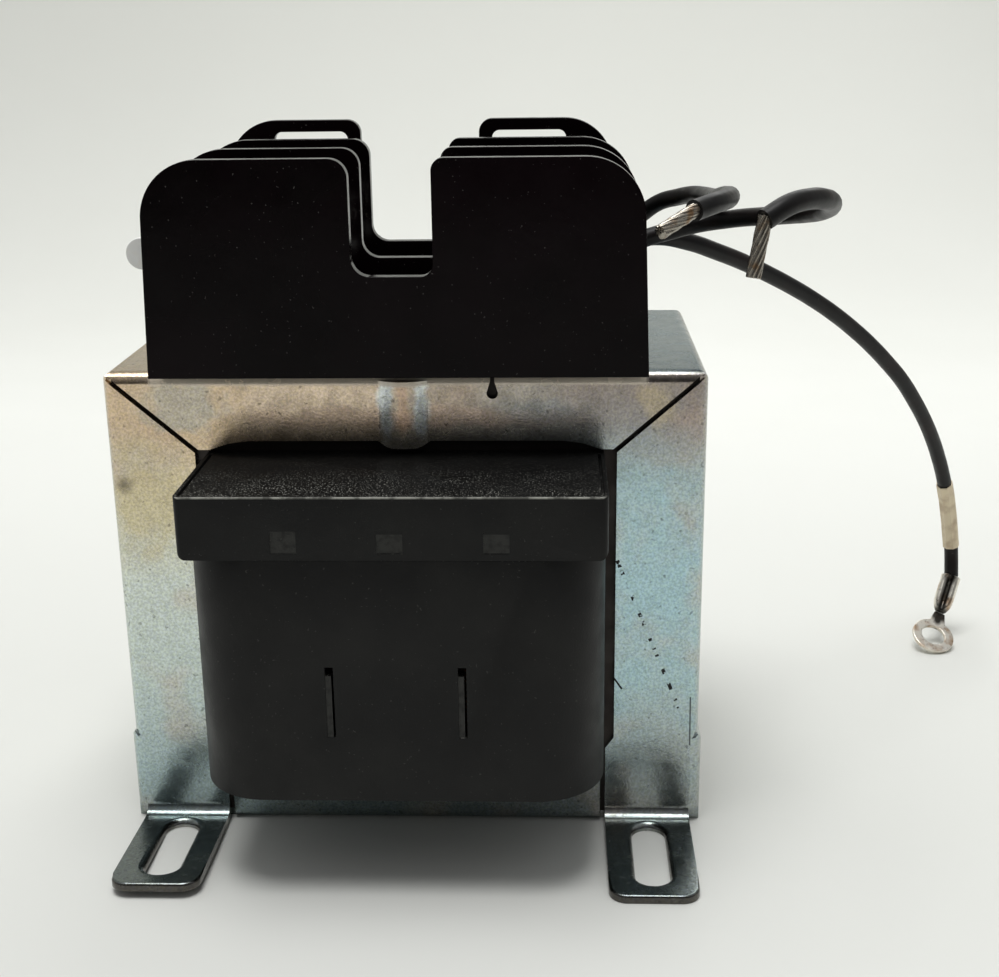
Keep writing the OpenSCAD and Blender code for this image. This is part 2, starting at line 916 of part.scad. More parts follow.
module clip_right(i) {
    translate([block_x, 0, 0])
        clip_strip(i);
}

module clip_left(i) {
    translate([block_x, 0, 0])
        mirror([1, 0, 0])
            clip_strip(i);
}

module clip_left_1() { clip_left(0); }
module clip_left_2() { clip_left(1); }
module clip_left_3() { clip_left(2); }
module clip_right_1() { clip_right(0); }
module clip_right_2() { clip_right(1); }
module clip_right_3() { clip_right(2); }

// A terminal screw whose head seats at height z.
module terminal_screw(x, y, z) {
    color(brass_c)
        translate([block_x + x, y, 0]) {
            translate([0, 0, deck_z - term_screw_l])
                cylinder(d = term_screw_d, h = z - deck_z + term_screw_l);
            difference() {
                translate([0, 0, z])
                    cylinder(d = term_head_d, h = term_head_h);
                translate([-term_head_d, -0.5, z + term_head_h - 1.2])
                    cube([2 * term_head_d, 1, 2]);
            }
        }
}

// A square pressure plate with its underside at height z.
module pressure_plate(x, y, z) {
    color(tin_c)
        translate([block_x + x, y, z])
            difference() {
                translate([-plate_l / 2, -plate_l / 2, 0])
                    cube([plate_l, plate_l, plate_t]);
                translate([0, 0, -1])
                    cylinder(d = term_screw_d, h = plate_t + 2);
            }
}

// Height of the underside of each pressure plate, left and right.
left_z = [strip_z + clip_t, strip_z, strip_z];
right_z = [strip_z, clamp_z, clamp_z];

module terminal_screws_left() {
    for (i = [0:2])
        terminal_screw(-term_x, bay_y[i], left_z[i] + plate_t);
}

module terminal_screws_right() {
    for (i = [0:2])
        terminal_screw(term_x, bay_y[i], right_z[i] + plate_t);
}

module pressure_plates_left() {
    for (i = [0:2])
        pressure_plate(-term_x, bay_y[i], left_z[i]);
}

module pressure_plates_right() {
    for (i = [0:2])
        pressure_plate(term_x, bay_y[i], right_z[i]);
}

module block_screws() {
    color(tin_c)
        for (y = [bay_y[0], bay_y[2]])
            translate([block_x, y, 0]) {
                translate([0, 0, core_top])
                    cylinder(d = fix_d, h = sheet_t + trough_h);
                difference() {
                    translate([0, 0, frame_h + trough_h])
                        cylinder(d = fix_head_d, h = fix_head_h);
                    translate([-fix_head_d, -0.5, frame_h + trough_h + fix_head_h - 1.1])
                        cube([2 * fix_head_d, 1, 2]);
                }
            }
}

module end_lug() {
    tip_x = lug_out - lug_r;
    tongue_z = strip_z + lug_r + lug_rise;
    color(tin_c)
        translate([block_x, bay_y[0], 0])
            mirror([1, 0, 0])
                difference() {
                    union() {
                        translate([term_x - lug_back, -lug_w / 2, strip_z])
                            cube([tip_x - term_x + lug_back - 1, lug_w, clip_t]);
                        along_y(-lug_w / 2, clip_t) {
                            translate([tip_x, tongue_z])
                                circle(lug_r);
                            translate([tip_x - lug_w, strip_z])
                                square([lug_w, lug_rise + 2 * lug_r]);
                        }
                    }
                    translate([term_x, 0, strip_z - 1])
                        cylinder(d = term_screw_d, h = clip_t + 2);
                }
}

module conductor_stubs() {
    color(copper_c)
        for (y = [bay_y[1] - wire_side, bay_y[1] + wire_side, bay_y[2] - wire_side])
            translate([stub_in, y, wire_z])
                rotate([0, 90, 0])
                    cylinder(d = core_wire_d, h = lead_x - stub_in);
}

// Unit vector.
function unit(v) = v / norm(v);

// Last point of a route.
function end_of(p) = p[len(p) - 1];

// Direction of a route at its point i.
function heading(p, i) =
    i == 0 ? unit(p[1] - p[0]) :
    i == len(p) - 1 ? unit(p[i] - p[i - 1]) :
    unit(unit(p[i + 1] - p[i]) + unit(p[i] - p[i - 1]));

// A round cord of diameter d along route p, whose two end faces look along
// head and tail; up is never parallel to it.
module cord(p, d, up, head, tail) {
    n = 8;
    last = len(p) - 1;
    rings = [for (i = [0:last])
        let (t = i == 0 ? unit(head) : i == last ? unit(tail) : heading(p, i),
             u = unit(cross(t, up)), v = cross(t, u))
            for (k = [0:n - 1])
                p[i] + d / 2 * (cos(360 * k / n) * u + sin(360 * k / n) * v)];
    sides = [for (i = [0:last - 1], k = [0:n - 1])
        [i * n + k, (i + 1) * n + k, (i + 1) * n + (k + 1) % n, i * n + (k + 1) % n]];
    caps = [[for (k = [0:n - 1]) k], [for (k = [n - 1:-1:0]) last * n + k]];
    polyhedron(points = rings, faces = concat(sides, caps), convexity = 10);
}

// A round bar of diameter d from point a to point b.
module bar(a, b, d) {
    v = b - a;
    translate(a)
        rotate([0, acos(v[2] / norm(v)), atan2(v[1], v[0])])
            cylinder(d = d, h = norm(v));
}

module lead_1() {
    color(black_c)
        cord(lead_1_path, lead_d, [0, 0, 1], [1, 0, 0], strand_1_end - end_of(lead_1_path));
}

module lead_2() {
    color(black_c)
        cord(lead_2_path, lead_d, [0, 0, 1], [1, 0, 0], strand_2_end - end_of(lead_2_path));
}

module lead_3() {
    color(black_c)
        cord(lead_3_path, lead_d, [0, 1, 0], [1, 0, 0], barrel_end - end_of(lead_3_path));
}

module lead_1_strands() {
    color(tin_c)
        bar(end_of(lead_1_path), strand_1_end, strand_d);
}

module lead_2_strands() {
    color(tin_c)
        bar(end_of(lead_2_path), strand_2_end, strand_d);
}

module marker_sleeve() {
    p = lead_3_path;
    head = p[18] - p[17];
    tail = p[20] - p[19];
    route = [p[17] + 0.3 * head, p[18], p[19], p[19] + 0.95 * tail];
    bore = [route[0] - unit(head), p[18], p[19], route[3] + unit(tail)];
    color(sleeve_c)
        difference() {
            cord(route, sleeve_d, [0, 1, 0], head, tail);
            cord(bore, lead_d + 2 * sleeve_gap, [0, 1, 0], head, tail);
        }
}

module ring_terminal() {
    color(tin_c) {
        bar(end_of(lead_3_path), barrel_end, barrel_d);
        translate(ring_mid)
            rotate([0, ring_lean, ring_yaw])
                translate([0, 0, -ring_t / 2])
                    linear_extrude(ring_t)
                        difference() {
                            union() {
                                circle(d = ring_d);
                                rotate(ring_turn)
                                    translate([ring_hole_d / 2, -tongue_w / 2])
                                        square([tongue_l - ring_hole_d / 2, tongue_w]);
                            }
                            circle(d = ring_hole_d);
                        }
    }
}

frame_wrap();
frame_floor();
core_e_stack();
core_i_stack();
coil_former();
coil_winding();
front_coil_cover();
rear_coil_cover();
front_terminal_cap();
rear_terminal_cap();
fuse_block();
end_plate();
clip_left_1();
clip_left_2();
clip_left_3();
clip_right_1();
clip_right_2();
clip_right_3();
terminal_screws_left();
terminal_screws_right();
pressure_plates_left();
pressure_plates_right();
block_screws();
end_lug();
conductor_stubs();
lead_1();
lead_1_strands();
lead_2();
lead_2_strands();
lead_3();
marker_sleeve();
ring_terminal();
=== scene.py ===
"""Looks of an open-style control transformer with a fuse block on top.

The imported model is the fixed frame. Leads come first, then the folded sheet
frame, the core, the coil covers, the fuse block and its metal parts. All
sizes in this file are in metres unless a name or comment says mm.
"""

import logging
import math
from dataclasses import dataclass, field
from enum import Enum
from typing import Callable, ClassVar, Optional, Union

import bpy
from mathutils import Euler, Matrix, Vector


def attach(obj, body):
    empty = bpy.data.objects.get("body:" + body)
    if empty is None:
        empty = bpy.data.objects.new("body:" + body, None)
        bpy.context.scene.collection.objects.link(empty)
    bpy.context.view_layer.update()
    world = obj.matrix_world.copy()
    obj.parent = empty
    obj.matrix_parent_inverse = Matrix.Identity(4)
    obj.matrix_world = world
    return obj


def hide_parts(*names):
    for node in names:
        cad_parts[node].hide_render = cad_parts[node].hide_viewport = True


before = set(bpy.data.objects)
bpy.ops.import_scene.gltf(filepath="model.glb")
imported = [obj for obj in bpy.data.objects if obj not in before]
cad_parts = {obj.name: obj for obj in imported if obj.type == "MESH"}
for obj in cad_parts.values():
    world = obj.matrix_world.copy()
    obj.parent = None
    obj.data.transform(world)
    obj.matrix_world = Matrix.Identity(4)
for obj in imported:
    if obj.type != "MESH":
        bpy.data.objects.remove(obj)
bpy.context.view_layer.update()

log = logging.getLogger("transformer")
MM = 0.001

Point = tuple[float, float, float]
Spot = tuple[float, float]
Test = Callable[[Vector], bool]
Piece = bpy.types.Object
Socket = bpy.types.NodeSocket
Source = Union[float, str, tuple, Socket]
Axes = dict[str, Socket]


class Slot(Enum):
    """Material slots of the record, one for each kind of piece made here."""

    ZINC = "zinc_sheet"
    COVER = "cover"
    BLOCK = "block"
    TINNED = "tinned_strip"
    SCREW = "screw"
    INSULATION = "insulation"
    STRAND = "strand"
    SLEEVE = "sleeve"


class Plane(Enum):
    """Plane that a mark is drawn on: upright and facing front, or level."""

    UPRIGHT = "xz"
    LEVEL = "xy"

    def spread(self, first: float, second: float) -> Point:
        """Put two lengths on the plane's own axes."""
        return (first, 0.0, second) if self is Plane.UPRIGHT else (first, second, 0.0)


def srgb(code: str) -> tuple[float, float, float, float]:
    """Turn a colour such as "#94AEB0" into linear values, with an alpha of 1."""
    parts = [int(code[i:i + 2], 16) / 255 for i in (1, 3, 5)]
    line = [c / 12.92 if c <= 0.04045 else ((c + 0.055) / 1.055) ** 2.4 for c in parts]
    return (line[0], line[1], line[2], 1.0)


# ---- pen


class Pen:
    """Writes the node graph of one material or of the world.

    A value that it takes is a number, a vector, a colour as hex text, or a
    socket. A method that makes something returns its socket.
    """

    SURFACE: ClassVar[dict] = {"base": "Base Color", "rough": "Roughness", "metal": "Metallic",
                               "ior": "IOR", "gloss": "Specular IOR Level"}
    NUMBERS: ClassVar[tuple] = ("LENGTH", "DISTANCE", "DOT_PRODUCT")

    def __init__(self, tree: bpy.types.NodeTree, shader: str, space: str) -> None:
        """Start on a node tree.

        Args:
            tree: The node tree.
            shader: Name of the shader node that is already there.
            space: Kind of coordinates that the patterns follow.
        """
        self.tree = tree
        self.shader = tree.nodes[shader]
        self.place = self.add("TexCoord").outputs[space]

    def feed(self, node: bpy.types.Node, inputs: dict) -> None:
        """Set or link the inputs of a node, given by name or number."""
        for key, value in inputs.items():
            if isinstance(value, Socket):
                self.tree.links.new(value, node.inputs[key])
            else:
                node.inputs[key].default_value = srgb(value) if isinstance(value, str) else value

    def add(self, kind: str, inputs: Optional[dict] = None, **settings: object) -> bpy.types.Node:
        """Add one node, give it its settings, and feed its inputs."""
        node = self.tree.nodes.new(f"ShaderNode{kind}")
        for key, value in settings.items():
            setattr(node, key, value)
        self.feed(node, inputs or {})
        return node

    def math(self, sign: str, first: Source, second: Source = 0.0) -> Socket:
        """Do one step of arithmetic."""
        return self.add("Math", {0: first, 1: second}, operation=sign).outputs[0]

    def size(self, value: Source) -> Socket:
        """Drop the sign of a value."""
        return self.math("ABSOLUTE", value)

    def rest(self, value: Source, whole: float = 1.0) -> Socket:
        """Take a value away from a whole."""
        return self.math("SUBTRACT", whole, value)

    def times(self, first: Source, *others: Source) -> Socket:
        """Multiply values."""
        for value in others:
            first = self.math("MULTIPLY", first, value)
        return first

    def most(self, first: Source, *others: Source) -> Socket:
        """Take the greatest of some values."""
        for value in others:
            first = self.math("MAXIMUM", first, value)
        return first

    def vector(self, sign: str, first: Source, second: Point = (0.0, 0.0, 0.0)) -> Socket:
        """Do one step of vector arithmetic, which gives a vector or a number."""
        node = self.add("VectorMath", {0: first, 1: second}, operation=sign)
        return node.outputs["Value" if sign in self.NUMBERS else "Vector"]

    def split(self, vector: Source) -> Axes:
        """Take a vector apart into its X, Y and Z."""
        node = self.add("SeparateXYZ", {0: vector})
        return {axis: node.outputs[axis] for axis in "XYZ"}

    def facing(self) -> Axes:
        """Give the X, Y and Z of the way that the surface faces."""
        return self.split(self.add("NewGeometry").outputs["Normal"])

    def ramp(self, value: Source, start: float, end: float, first: float = 0.0,
             last: float = 1.0, way: str = "LINEAR") -> Socket:
        """Spread the stretch of a value from start to end over first to last."""
        return self.add("MapRange", {"Value": value, "From Min": start, "From Max": end,
                                     "To Min": first, "To Max": last},
                        interpolation_type=way).outputs[0]

    def grain(self, size_mm: float, low: float, high: float, edges: Spot = (0.3, 0.7),
              detail: float = 2.0) -> Socket:
        """Make a noise pattern of a real grain size, spread between two values.

        Args:
            size_mm: Width of one grain.
            low: Value in the valleys.
            high: Value on the peaks.
            edges: Part of the noise's range that is spread out.
            detail: Number of finer layers.
        """
        noise = self.add("TexNoise", {"Vector": self.place, "Scale": 1.0 / (size_mm * MM),
                                      "Detail": detail}).outputs[0]
        return self.ramp(noise, edges[0], edges[1], low, high, "SMOOTHSTEP")

    def blend(self, factor: Source, first: Source, second: Source, way: str = "MIX") -> Socket:
        """Blend two colours, with 0 for the first and 1 for the second."""
        return self.add("Mix", {0: factor, 6: first, 7: second}, data_type="RGBA",
                        blend_type=way).outputs[2]

    def stroke(self, start: Spot, end: Spot, width: float,
               plane: Plane = Plane.UPRIGHT) -> tuple[Socket, Socket]:
        """Mask a straight stroke on one plane.

        Args:
            start: Where it starts on the plane, in mm.
            end: Where it ends on the plane, in mm.
            width: Half width in mm.
            plane: Plane that it is drawn on.

        Returns:
            The mask, and the way along the stroke in mm.
        """
        length = math.hypot(end[0] - start[0], end[1] - start[1])
        u, v = (end[0] - start[0]) / length, (end[1] - start[1]) / length
        moved = self.vector("SUBTRACT", self.place, plane.spread(start[0] * MM, start[1] * MM))
        way = self.vector("DOT_PRODUCT", moved, plane.spread(u / MM, v / MM))
        off = self.vector("DOT_PRODUCT", moved, plane.spread(-v / MM, u / MM))
        mask = self.times(self.math("LESS_THAN", self.size(off), width),
                          self.math("GREATER_THAN", way, 0.0),
                          self.math("LESS_THAN", way, length))
        return mask, way

    def surface(self, **values: Source) -> None:
        """Set or link the shader's base, rough, metal, ior and gloss."""
        self.feed(self.shader, {self.SURFACE[key]: value for key, value in values.items()})

    def relief(self, height: Socket, depth_mm: float, strength: float) -> None:
        """Give the shader a bump of a real depth."""
        bump = self.add("Bump", {"Height": height, "Distance": depth_mm * MM,
                                 "Strength": strength})
        self.feed(self.shader, {"Normal": bump.outputs[0]})


# ---- finishes


@dataclass(frozen=True)
class Finish:
    """A surface finish that turns itself into one node material."""

    name: str

    def material(self) -> bpy.types.Material:
        """Return the material, made once and shared after that."""
        found = bpy.data.materials.get(self.name)
        if found:
            return found
        made = bpy.data.materials.new(self.name)
        made.use_nodes = True
        self.paint(Pen(made.node_tree, "Principled BSDF", "Object"))
        return made

    def paint(self, pen: Pen) -> None:
        """Write the nodes; each finish has its own."""
        raise NotImplementedError


@dataclass(frozen=True)
class TintPatch:
    """Cloud of another colour inside an ellipsoid, all in mm. Most are stains in the film; some
    are painted highlights and a painted reflection.
    """

    middle: Point
    reach: Point
    tone: str
    most: float


@dataclass(frozen=True)
class ZincPlatedSteel(Finish):
    """Cold-rolled steel sheet, zinc-plated and thinly chromated.

    The chromate film drifts from tan high up to pale blue low down over the folded
    sheet, partly as film colour and partly as painted light: lighter near the top as
    a painted highlight. Level faces take painted reflection tones, the bead and the
    bend under the block carry painted highlights, and the plating has a fine sandy
    grain that softens each reflection.
    """

    name: str = "zinc_plated_steel"
    # Film tones up each side: chromate tints, lighter near the top partly as a painted highlight.
    left: tuple = ((0.0, "#8C9A9B"), (0.12, "#A8BABC"), (0.34, "#C6D2CE"), (0.55, "#D2DAD3"),
                   (0.70, "#DFD9BE"), (0.88, "#D9C2A4"), (1.0, "#E2CAAC"))
    right: tuple = ((0.0, "#8C9596"), (0.16, "#9FAFB2"), (0.34, "#A9C4C9"), (0.60, "#B0CCD3"),
                    (0.78, "#AAC0C4"), (0.90, "#9C9896"), (1.0, "#9E9289"))
    cloud_tone: str = "#BCBBB3"
    blush_tone: str = "#C7A58C"
    end_tone: str = "#B4B6AF"
    # Tones of level faces: painted reflection on the top and on the feet.
    top_reflection_tone: str = "#5C7076"
    top_left_reflection_tone: str = "#C2AF95"
    foot_reflection_tone: str = "#767E7D"
    scoured_tone: str = "#9DA5A2"
    foot_edge_tone: str = "#4A413B"
    mark_tone: str = "#1E1D1B"
    bend_highlight_tone: str = "#FBEFDC"
    height: float = 0.082
    side_x: Spot = (-0.036, 0.038)
    foot_y: Spot = (0.0306, 0.0322)
    bend_z: Spot = (0.0796, 0.0801)
    # Where the bend under the block is painted pale, as a painted highlight.
    bend_highlight_mid: float = -0.0010
    bend_highlight_half: Spot = (0.0404, 0.0412)
    grain_mm: float = 0.4
    mottle_mm: float = 16.0
    smudge_mm: Point = (-47.4, -27.5, 62.8)
    # The first cloud lightens the band under the block: a painted highlight. The third lightens a
    # band just above the cap. The last three are on the bead: painted highlights down its two
    # sides and a painted brown reflection in its middle. The rest are stains in the film.
    stains_and_highlights: tuple = (TintPatch((-15.0, -27.5, 76.0), (17.0, 3.0, 6.0), "#E8D4BC", 0.75),
                     TintPatch((-36.5, -27.5, 76.5), (7.5, 3.0, 5.0), "#B3B6AF", 0.6),
                     TintPatch((0.0, -27.5, 74.4), (27.0, 6.0, 1.9), "#CDB0A0", 0.4),
                     TintPatch((22.0, -27.5, 75.6), (7.0, 3.0, 2.2), "#959B9E", 0.5),
                     TintPatch((41.5, -27.5, 76.5), (3.2, 3.0, 4.2), "#C8B998", 0.5),
                     TintPatch((-44.0, -27.5, 60.0), (6.5, 3.0, 9.0), "#CDBD92", 0.5),
                     TintPatch((42.0, -27.5, 47.0), (6.5, 3.0, 15.0), "#A6C6CE", 0.6),
                     TintPatch((-2.9, -28.6, 77.0), (1.4, 2.0, 7.5), "#E3E9E9", 0.95),
                     TintPatch((3.0, -28.6, 77.0), (1.4, 2.0, 7.5), "#E3E9E9", 0.95),
                     TintPatch((0.1, -29.0, 77.0), (1.1, 2.0, 7.0), "#C3A38A", 0.6))

    @staticmethod
    def drift(pen: Pen, height: Socket, stops: tuple) -> Socket:
        """Colour of the film up one side of the frame."""
        ramp = pen.add("ValToRGB", {0: height})
        bar = ramp.color_ramp
        for place, tone in stops[1:-1]:
            bar.elements.new(place).color = srgb(tone)
        for end in (0, -1):
            bar.elements[end].position = stops[end][0]
            bar.elements[end].color = srgb(stops[end][1])
        return ramp.outputs[0]

    def film(self, pen: Pen, height: Socket, side: Socket) -> Socket:
        """Drift of the film over the sheet, with its clouds, its stains and its painted
        highlights.
        """
        film = pen.blend(side, self.drift(pen, height, self.left),
                         self.drift(pen, height, self.right))
        cloud = pen.grain(self.mottle_mm, 0.0, 0.4, (0.42, 0.66), 3.0)
        blush = pen.grain(13.0, 0.0, 0.3, (0.50, 0.70))
        film = pen.blend(blush, pen.blend(cloud, film, self.cloud_tone), self.blush_tone)
        # Each cloud is blended in, stains and painted highlights alike.
        for tint_patch in self.stains_and_highlights:
            gap = pen.vector("SUBTRACT", pen.place, tuple(v * MM for v in tint_patch.middle))
            scaled = pen.vector("MULTIPLY", gap, tuple(1.0 / (v * MM) for v in tint_patch.reach))
            wavy = pen.math("ADD", pen.vector("LENGTH", scaled),
                            pen.grain(4.0, -0.3, 0.3, detail=3.0))
            film = pen.blend(pen.ramp(wavy, 0.6, 1.15, tint_patch.most, 0.0), film, tint_patch.tone)
        return film

    def level_reflection_film(self, pen: Pen, height: Socket, side: Socket) -> Socket:
        """Painted reflection on level faces: darker tones standing in for what they mirror, beige
        and blue-grey across the top and grey on the feet, with real scouring on the feet.
        """
        top = pen.blend(side, self.top_left_reflection_tone, self.top_reflection_tone)
        scoured = pen.grain(1.2, 0.0, 0.45, (0.48, 0.75), 6.0)
        return pen.blend(height, pen.blend(scoured, self.foot_reflection_tone, self.scoured_tone), top)

    def marks(self, pen: Pen) -> Socket:
        """Beaded scrape, scratches, dull specks and one smudge."""
        trail, way = pen.stroke((35.2, 49.55), (46.3, 22.0), 0.32)
        beads = pen.add("TexNoise", {"W": pen.times(way, 0.62), "Scale": 1.0, "Detail": 1.0},
                        noise_dimensions="1D").outputs[0]
        specks = pen.times(trail, pen.math("GREATER_THAN", beads, 0.56),
                           pen.grain(0.7, 0.0, 1.0, (0.40, 0.50), 1.0))
        scratch, _ = pen.stroke((48.15, 24.3), (48.25, 15.1), 0.14)
        tick, _ = pen.stroke((34.9, 27.9), (36.3, 25.8), 0.16)
        dull = pen.grain(1.1, 0.0, 0.8, (0.66, 0.74), 1.0)
        spot = pen.vector("DISTANCE", pen.place, tuple(v * MM for v in self.smudge_mm))
        smudge = pen.ramp(spot, 0.3 * MM, 2.0 * MM, 0.5, 0.0)
        return pen.most(specks, pen.times(scratch, 0.7), tick, pen.times(dull, 0.35), smudge)

    def bend_highlight(self, pen: Pen, axes: Axes, level: Socket) -> Socket:
        """Mask the bend under the block's edge, which is painted pale as a painted highlight."""
        bend = pen.ramp(axes["Z"], *self.bend_z, 0.0, 0.8)
        aside = pen.size(pen.math("ADD", axes["X"], -self.bend_highlight_mid))
        under = pen.ramp(aside, *self.bend_highlight_half, 1.0, 0.0)
        return pen.times(bend, under, pen.rest(level, 0.9))

    def paint(self, pen: Pen) -> None:
        """Film colour, sandy grain, specks and scratches of the plated sheet."""
        axes, facing = pen.split(pen.place), pen.facing()
        height = pen.ramp(axes["Z"], 0.0, self.height)
        side = pen.ramp(axes["X"], *self.side_x, way="SMOOTHSTEP")
        film = self.film(pen, height, side)
        film = pen.blend(pen.ramp(pen.size(facing["X"]), 0.5, 0.95, 0.0, 0.6), film,
                         self.end_tone)
        # Level faces and the feet take the painted reflection tones.
        level = pen.ramp(facing["Z"], 0.55, 0.98, 0.0, 0.9)
        low = pen.ramp(pen.size(axes["Y"]), *self.foot_y, 0.0, 0.85)
        film = pen.blend(pen.most(level, low), film, self.level_reflection_film(pen, height, side))
        # The feet's upright faces and edges are made darker.
        film = pen.blend(pen.times(low, pen.rest(level, 0.9)), film, self.foot_edge_tone)
        sand = pen.grain(self.grain_mm, 0.80, 1.14)
        cold = pen.grain(1.3 * self.grain_mm, 0.93, 1.07, detail=1.0)
        shade = pen.add("CombineColor", {0: sand, 1: sand, 2: pen.times(sand, cold)}).outputs[0]
        film = pen.blend(1.0, film, shade, "MULTIPLY")
        # The bend under the block is painted pale, a painted highlight, and made less metallic
        # there.
        marks, bend_highlight = self.marks(pen), self.bend_highlight(pen, axes, level)
        film = pen.blend(bend_highlight, pen.blend(marks, film, self.mark_tone), self.bend_highlight_tone)
        rough = pen.grain(3.0, 0.19, 0.29, detail=4.0)
        pen.surface(base=film, rough=pen.most(rough, pen.times(marks, 0.7)),
                    metal=pen.rest(pen.most(pen.times(marks, 0.8), bend_highlight)))
        pen.relief(pen.grain(0.4, 0.0, 1.0, (0.2, 0.8), 3.0), 0.012, 0.5)


@dataclass(frozen=True)
class MouldedCover(Finish):
    """Compression-moulded black polyester: matte, with dust lying on top, painted shade on faces
    that look up, and a painted highlight along the caps' upper edge.
    """

    name: str = "moulded_cover"
    tone: str = "#181818"
    worn: str = "#1F1F1E"
    dust_and_highlight_tone: str = "#A8A8A0"
    lying_shade_tone: str = "#040404"
    patch_tone: str = "#343432"
    tongue_tone: str = "#3A3A38"
    front: float = 0.0518
    crown: float = 0.0684
    dusty_y: Spot = (0.037, 0.048)
    patches_mm: tuple = ((-16.4, 61.2, 2.0, 1.8), (-0.2, 61.0, 2.0, 1.5), (16.0, 61.0, 2.0, 1.5))
    tongues_mm: tuple = ((-10.57, 33.9, 0.47, 5.25), (10.23, 33.9, 0.47, 5.25))

    @staticmethod
    def window(pen: Pen, x_mm: float, z_mm: float, half_x: float, half_z: float) -> Socket:
        """Mask a rectangle on the front and rear faces, given by its middle and halves."""
        near = pen.split(pen.vector("SUBTRACT", pen.place, (x_mm * MM, 0.0, z_mm * MM)))
        return pen.times(pen.math("LESS_THAN", pen.size(near["X"]), half_x * MM),
                         pen.math("LESS_THAN", pen.size(near["Z"]), half_z * MM))

    def rim(self, pen: Pen, axes: Axes) -> Socket:
        """Mask the upper outer edge of a cap for a painted highlight, a pale line broken by noise.
        """
        out = pen.rest(pen.size(axes["Y"]), self.front)
        down = pen.rest(axes["Z"], self.crown)
        near = pen.math("ADD", pen.size(out), pen.size(down))
        return pen.times(pen.ramp(near, 0.16 * MM, 0.32 * MM, 1.0, 0.0),
                         pen.grain(2.2, 0.25, 0.95, (0.35, 0.6), 3.0))

    def dust_and_rim_highlight(self, pen: Pen, axes: Axes, lying: Socket) -> Socket:
        """Amount of dust and painted highlight: flecks in patches, powder, stray flecks, and the
        painted highlight on the rim.
        """
        outward = pen.ramp(pen.size(axes["Y"]), *self.dusty_y, 0.12, 1.0)
        flecks = pen.times(pen.grain(0.30, 0.0, 1.0, (0.62, 0.67), 1.0),
                           pen.grain(7.0, 0.3, 1.0, (0.35, 0.65), 3.0))
        powder = pen.grain(0.9, 0.0, 0.03, (0.4, 0.8), 4.0)
        amount = pen.times(pen.math("ADD", flecks, powder), lying, outward)
        stray = pen.grain(0.5, 0.0, 0.07, (0.73, 0.79), 1.0)
        amount = pen.most(pen.math("MINIMUM", pen.math("ADD", amount, stray), 0.85),
                          self.rim(pen, axes))
        clean, _ = pen.stroke((7.0, -41.9), (23.0, -37.6), 0.3, Plane.LEVEL)
        return pen.times(amount, pen.rest(clean))

    def paint(self, pen: Pen) -> None:
        """Fine moulding grain, a cloudy bloom, painted shade on faces that look up, dust on them,
        and a painted highlight on the caps' rim.
        """
        tone = pen.blend(pen.grain(12.0, 0.0, 1.0, (0.35, 0.75), 5.0), self.tone, self.worn)
        lying = pen.ramp(pen.facing()["Z"], 0.75, 0.97)
        for lighter, code in ((self.patches_mm, self.patch_tone),
                              (self.tongues_mm, self.tongue_tone)):
            for place in lighter:
                thin_wall = pen.times(self.window(pen, *place),
                                      pen.grain(1.2, 0.35, 1.0, (0.3, 0.6), 3.0))
                tone = pen.blend(thin_wall, tone, code)
        # Faces that look up are painted darker: painted shade.
        tone = pen.blend(pen.times(lying, 0.75), tone, self.lying_shade_tone)
        # Dust and the painted highlight on the rim share one pale tone.
        amount = self.dust_and_rim_highlight(pen, pen.split(pen.place), lying)
        rough = pen.grain(5.0, 0.38, 0.50, detail=4.0)
        pen.surface(base=pen.blend(amount, tone, self.dust_and_highlight_tone), rough=pen.most(rough, amount),
                    ior=1.5, gloss=0.17)
        pen.relief(pen.grain(0.35, 0.0, 1.0, (0.2, 0.8)), 0.02, 0.5)


@dataclass(frozen=True)
class Clouded(Finish):
    """One tone with clouds of another, and a fine even relief."""

    tone: str
    cloud_tone: str
    cloud_mm: float = 2.5
    cloud_most: float = 0.8
    cloud_edges: Spot = (0.45, 0.72)
    cloud_detail: float = 4.0
    rough_mm: float = 0.8
    rough: Spot = (0.22, 0.38)
    bump_mm: float = 0.25
    bump_detail: float = 2.0
    depth_mm: float = 0.01
    metal: float = 0.0
    ior: float = 1.5
    gloss: float = 0.5

    def tint(self, pen: Pen, colour: Socket) -> Socket:
        """Change the colour in some places; plain parts leave it as it is."""
        return colour

    def paint(self, pen: Pen) -> None:
        """Blend the two tones, and give the face its roughness and relief."""
        cloud = pen.grain(self.cloud_mm, 0.0, self.cloud_most, self.cloud_edges,
                          self.cloud_detail)
        pen.surface(base=self.tint(pen, pen.blend(cloud, self.tone, self.cloud_tone)),
                    rough=pen.grain(self.rough_mm, *self.rough, detail=3.0),
                    metal=self.metal, ior=self.ior, gloss=self.gloss)
        pen.relief(pen.grain(self.bump_mm, 0.0, 1.0, (0.2, 0.8), self.bump_detail),
                   self.depth_mm, 0.4)


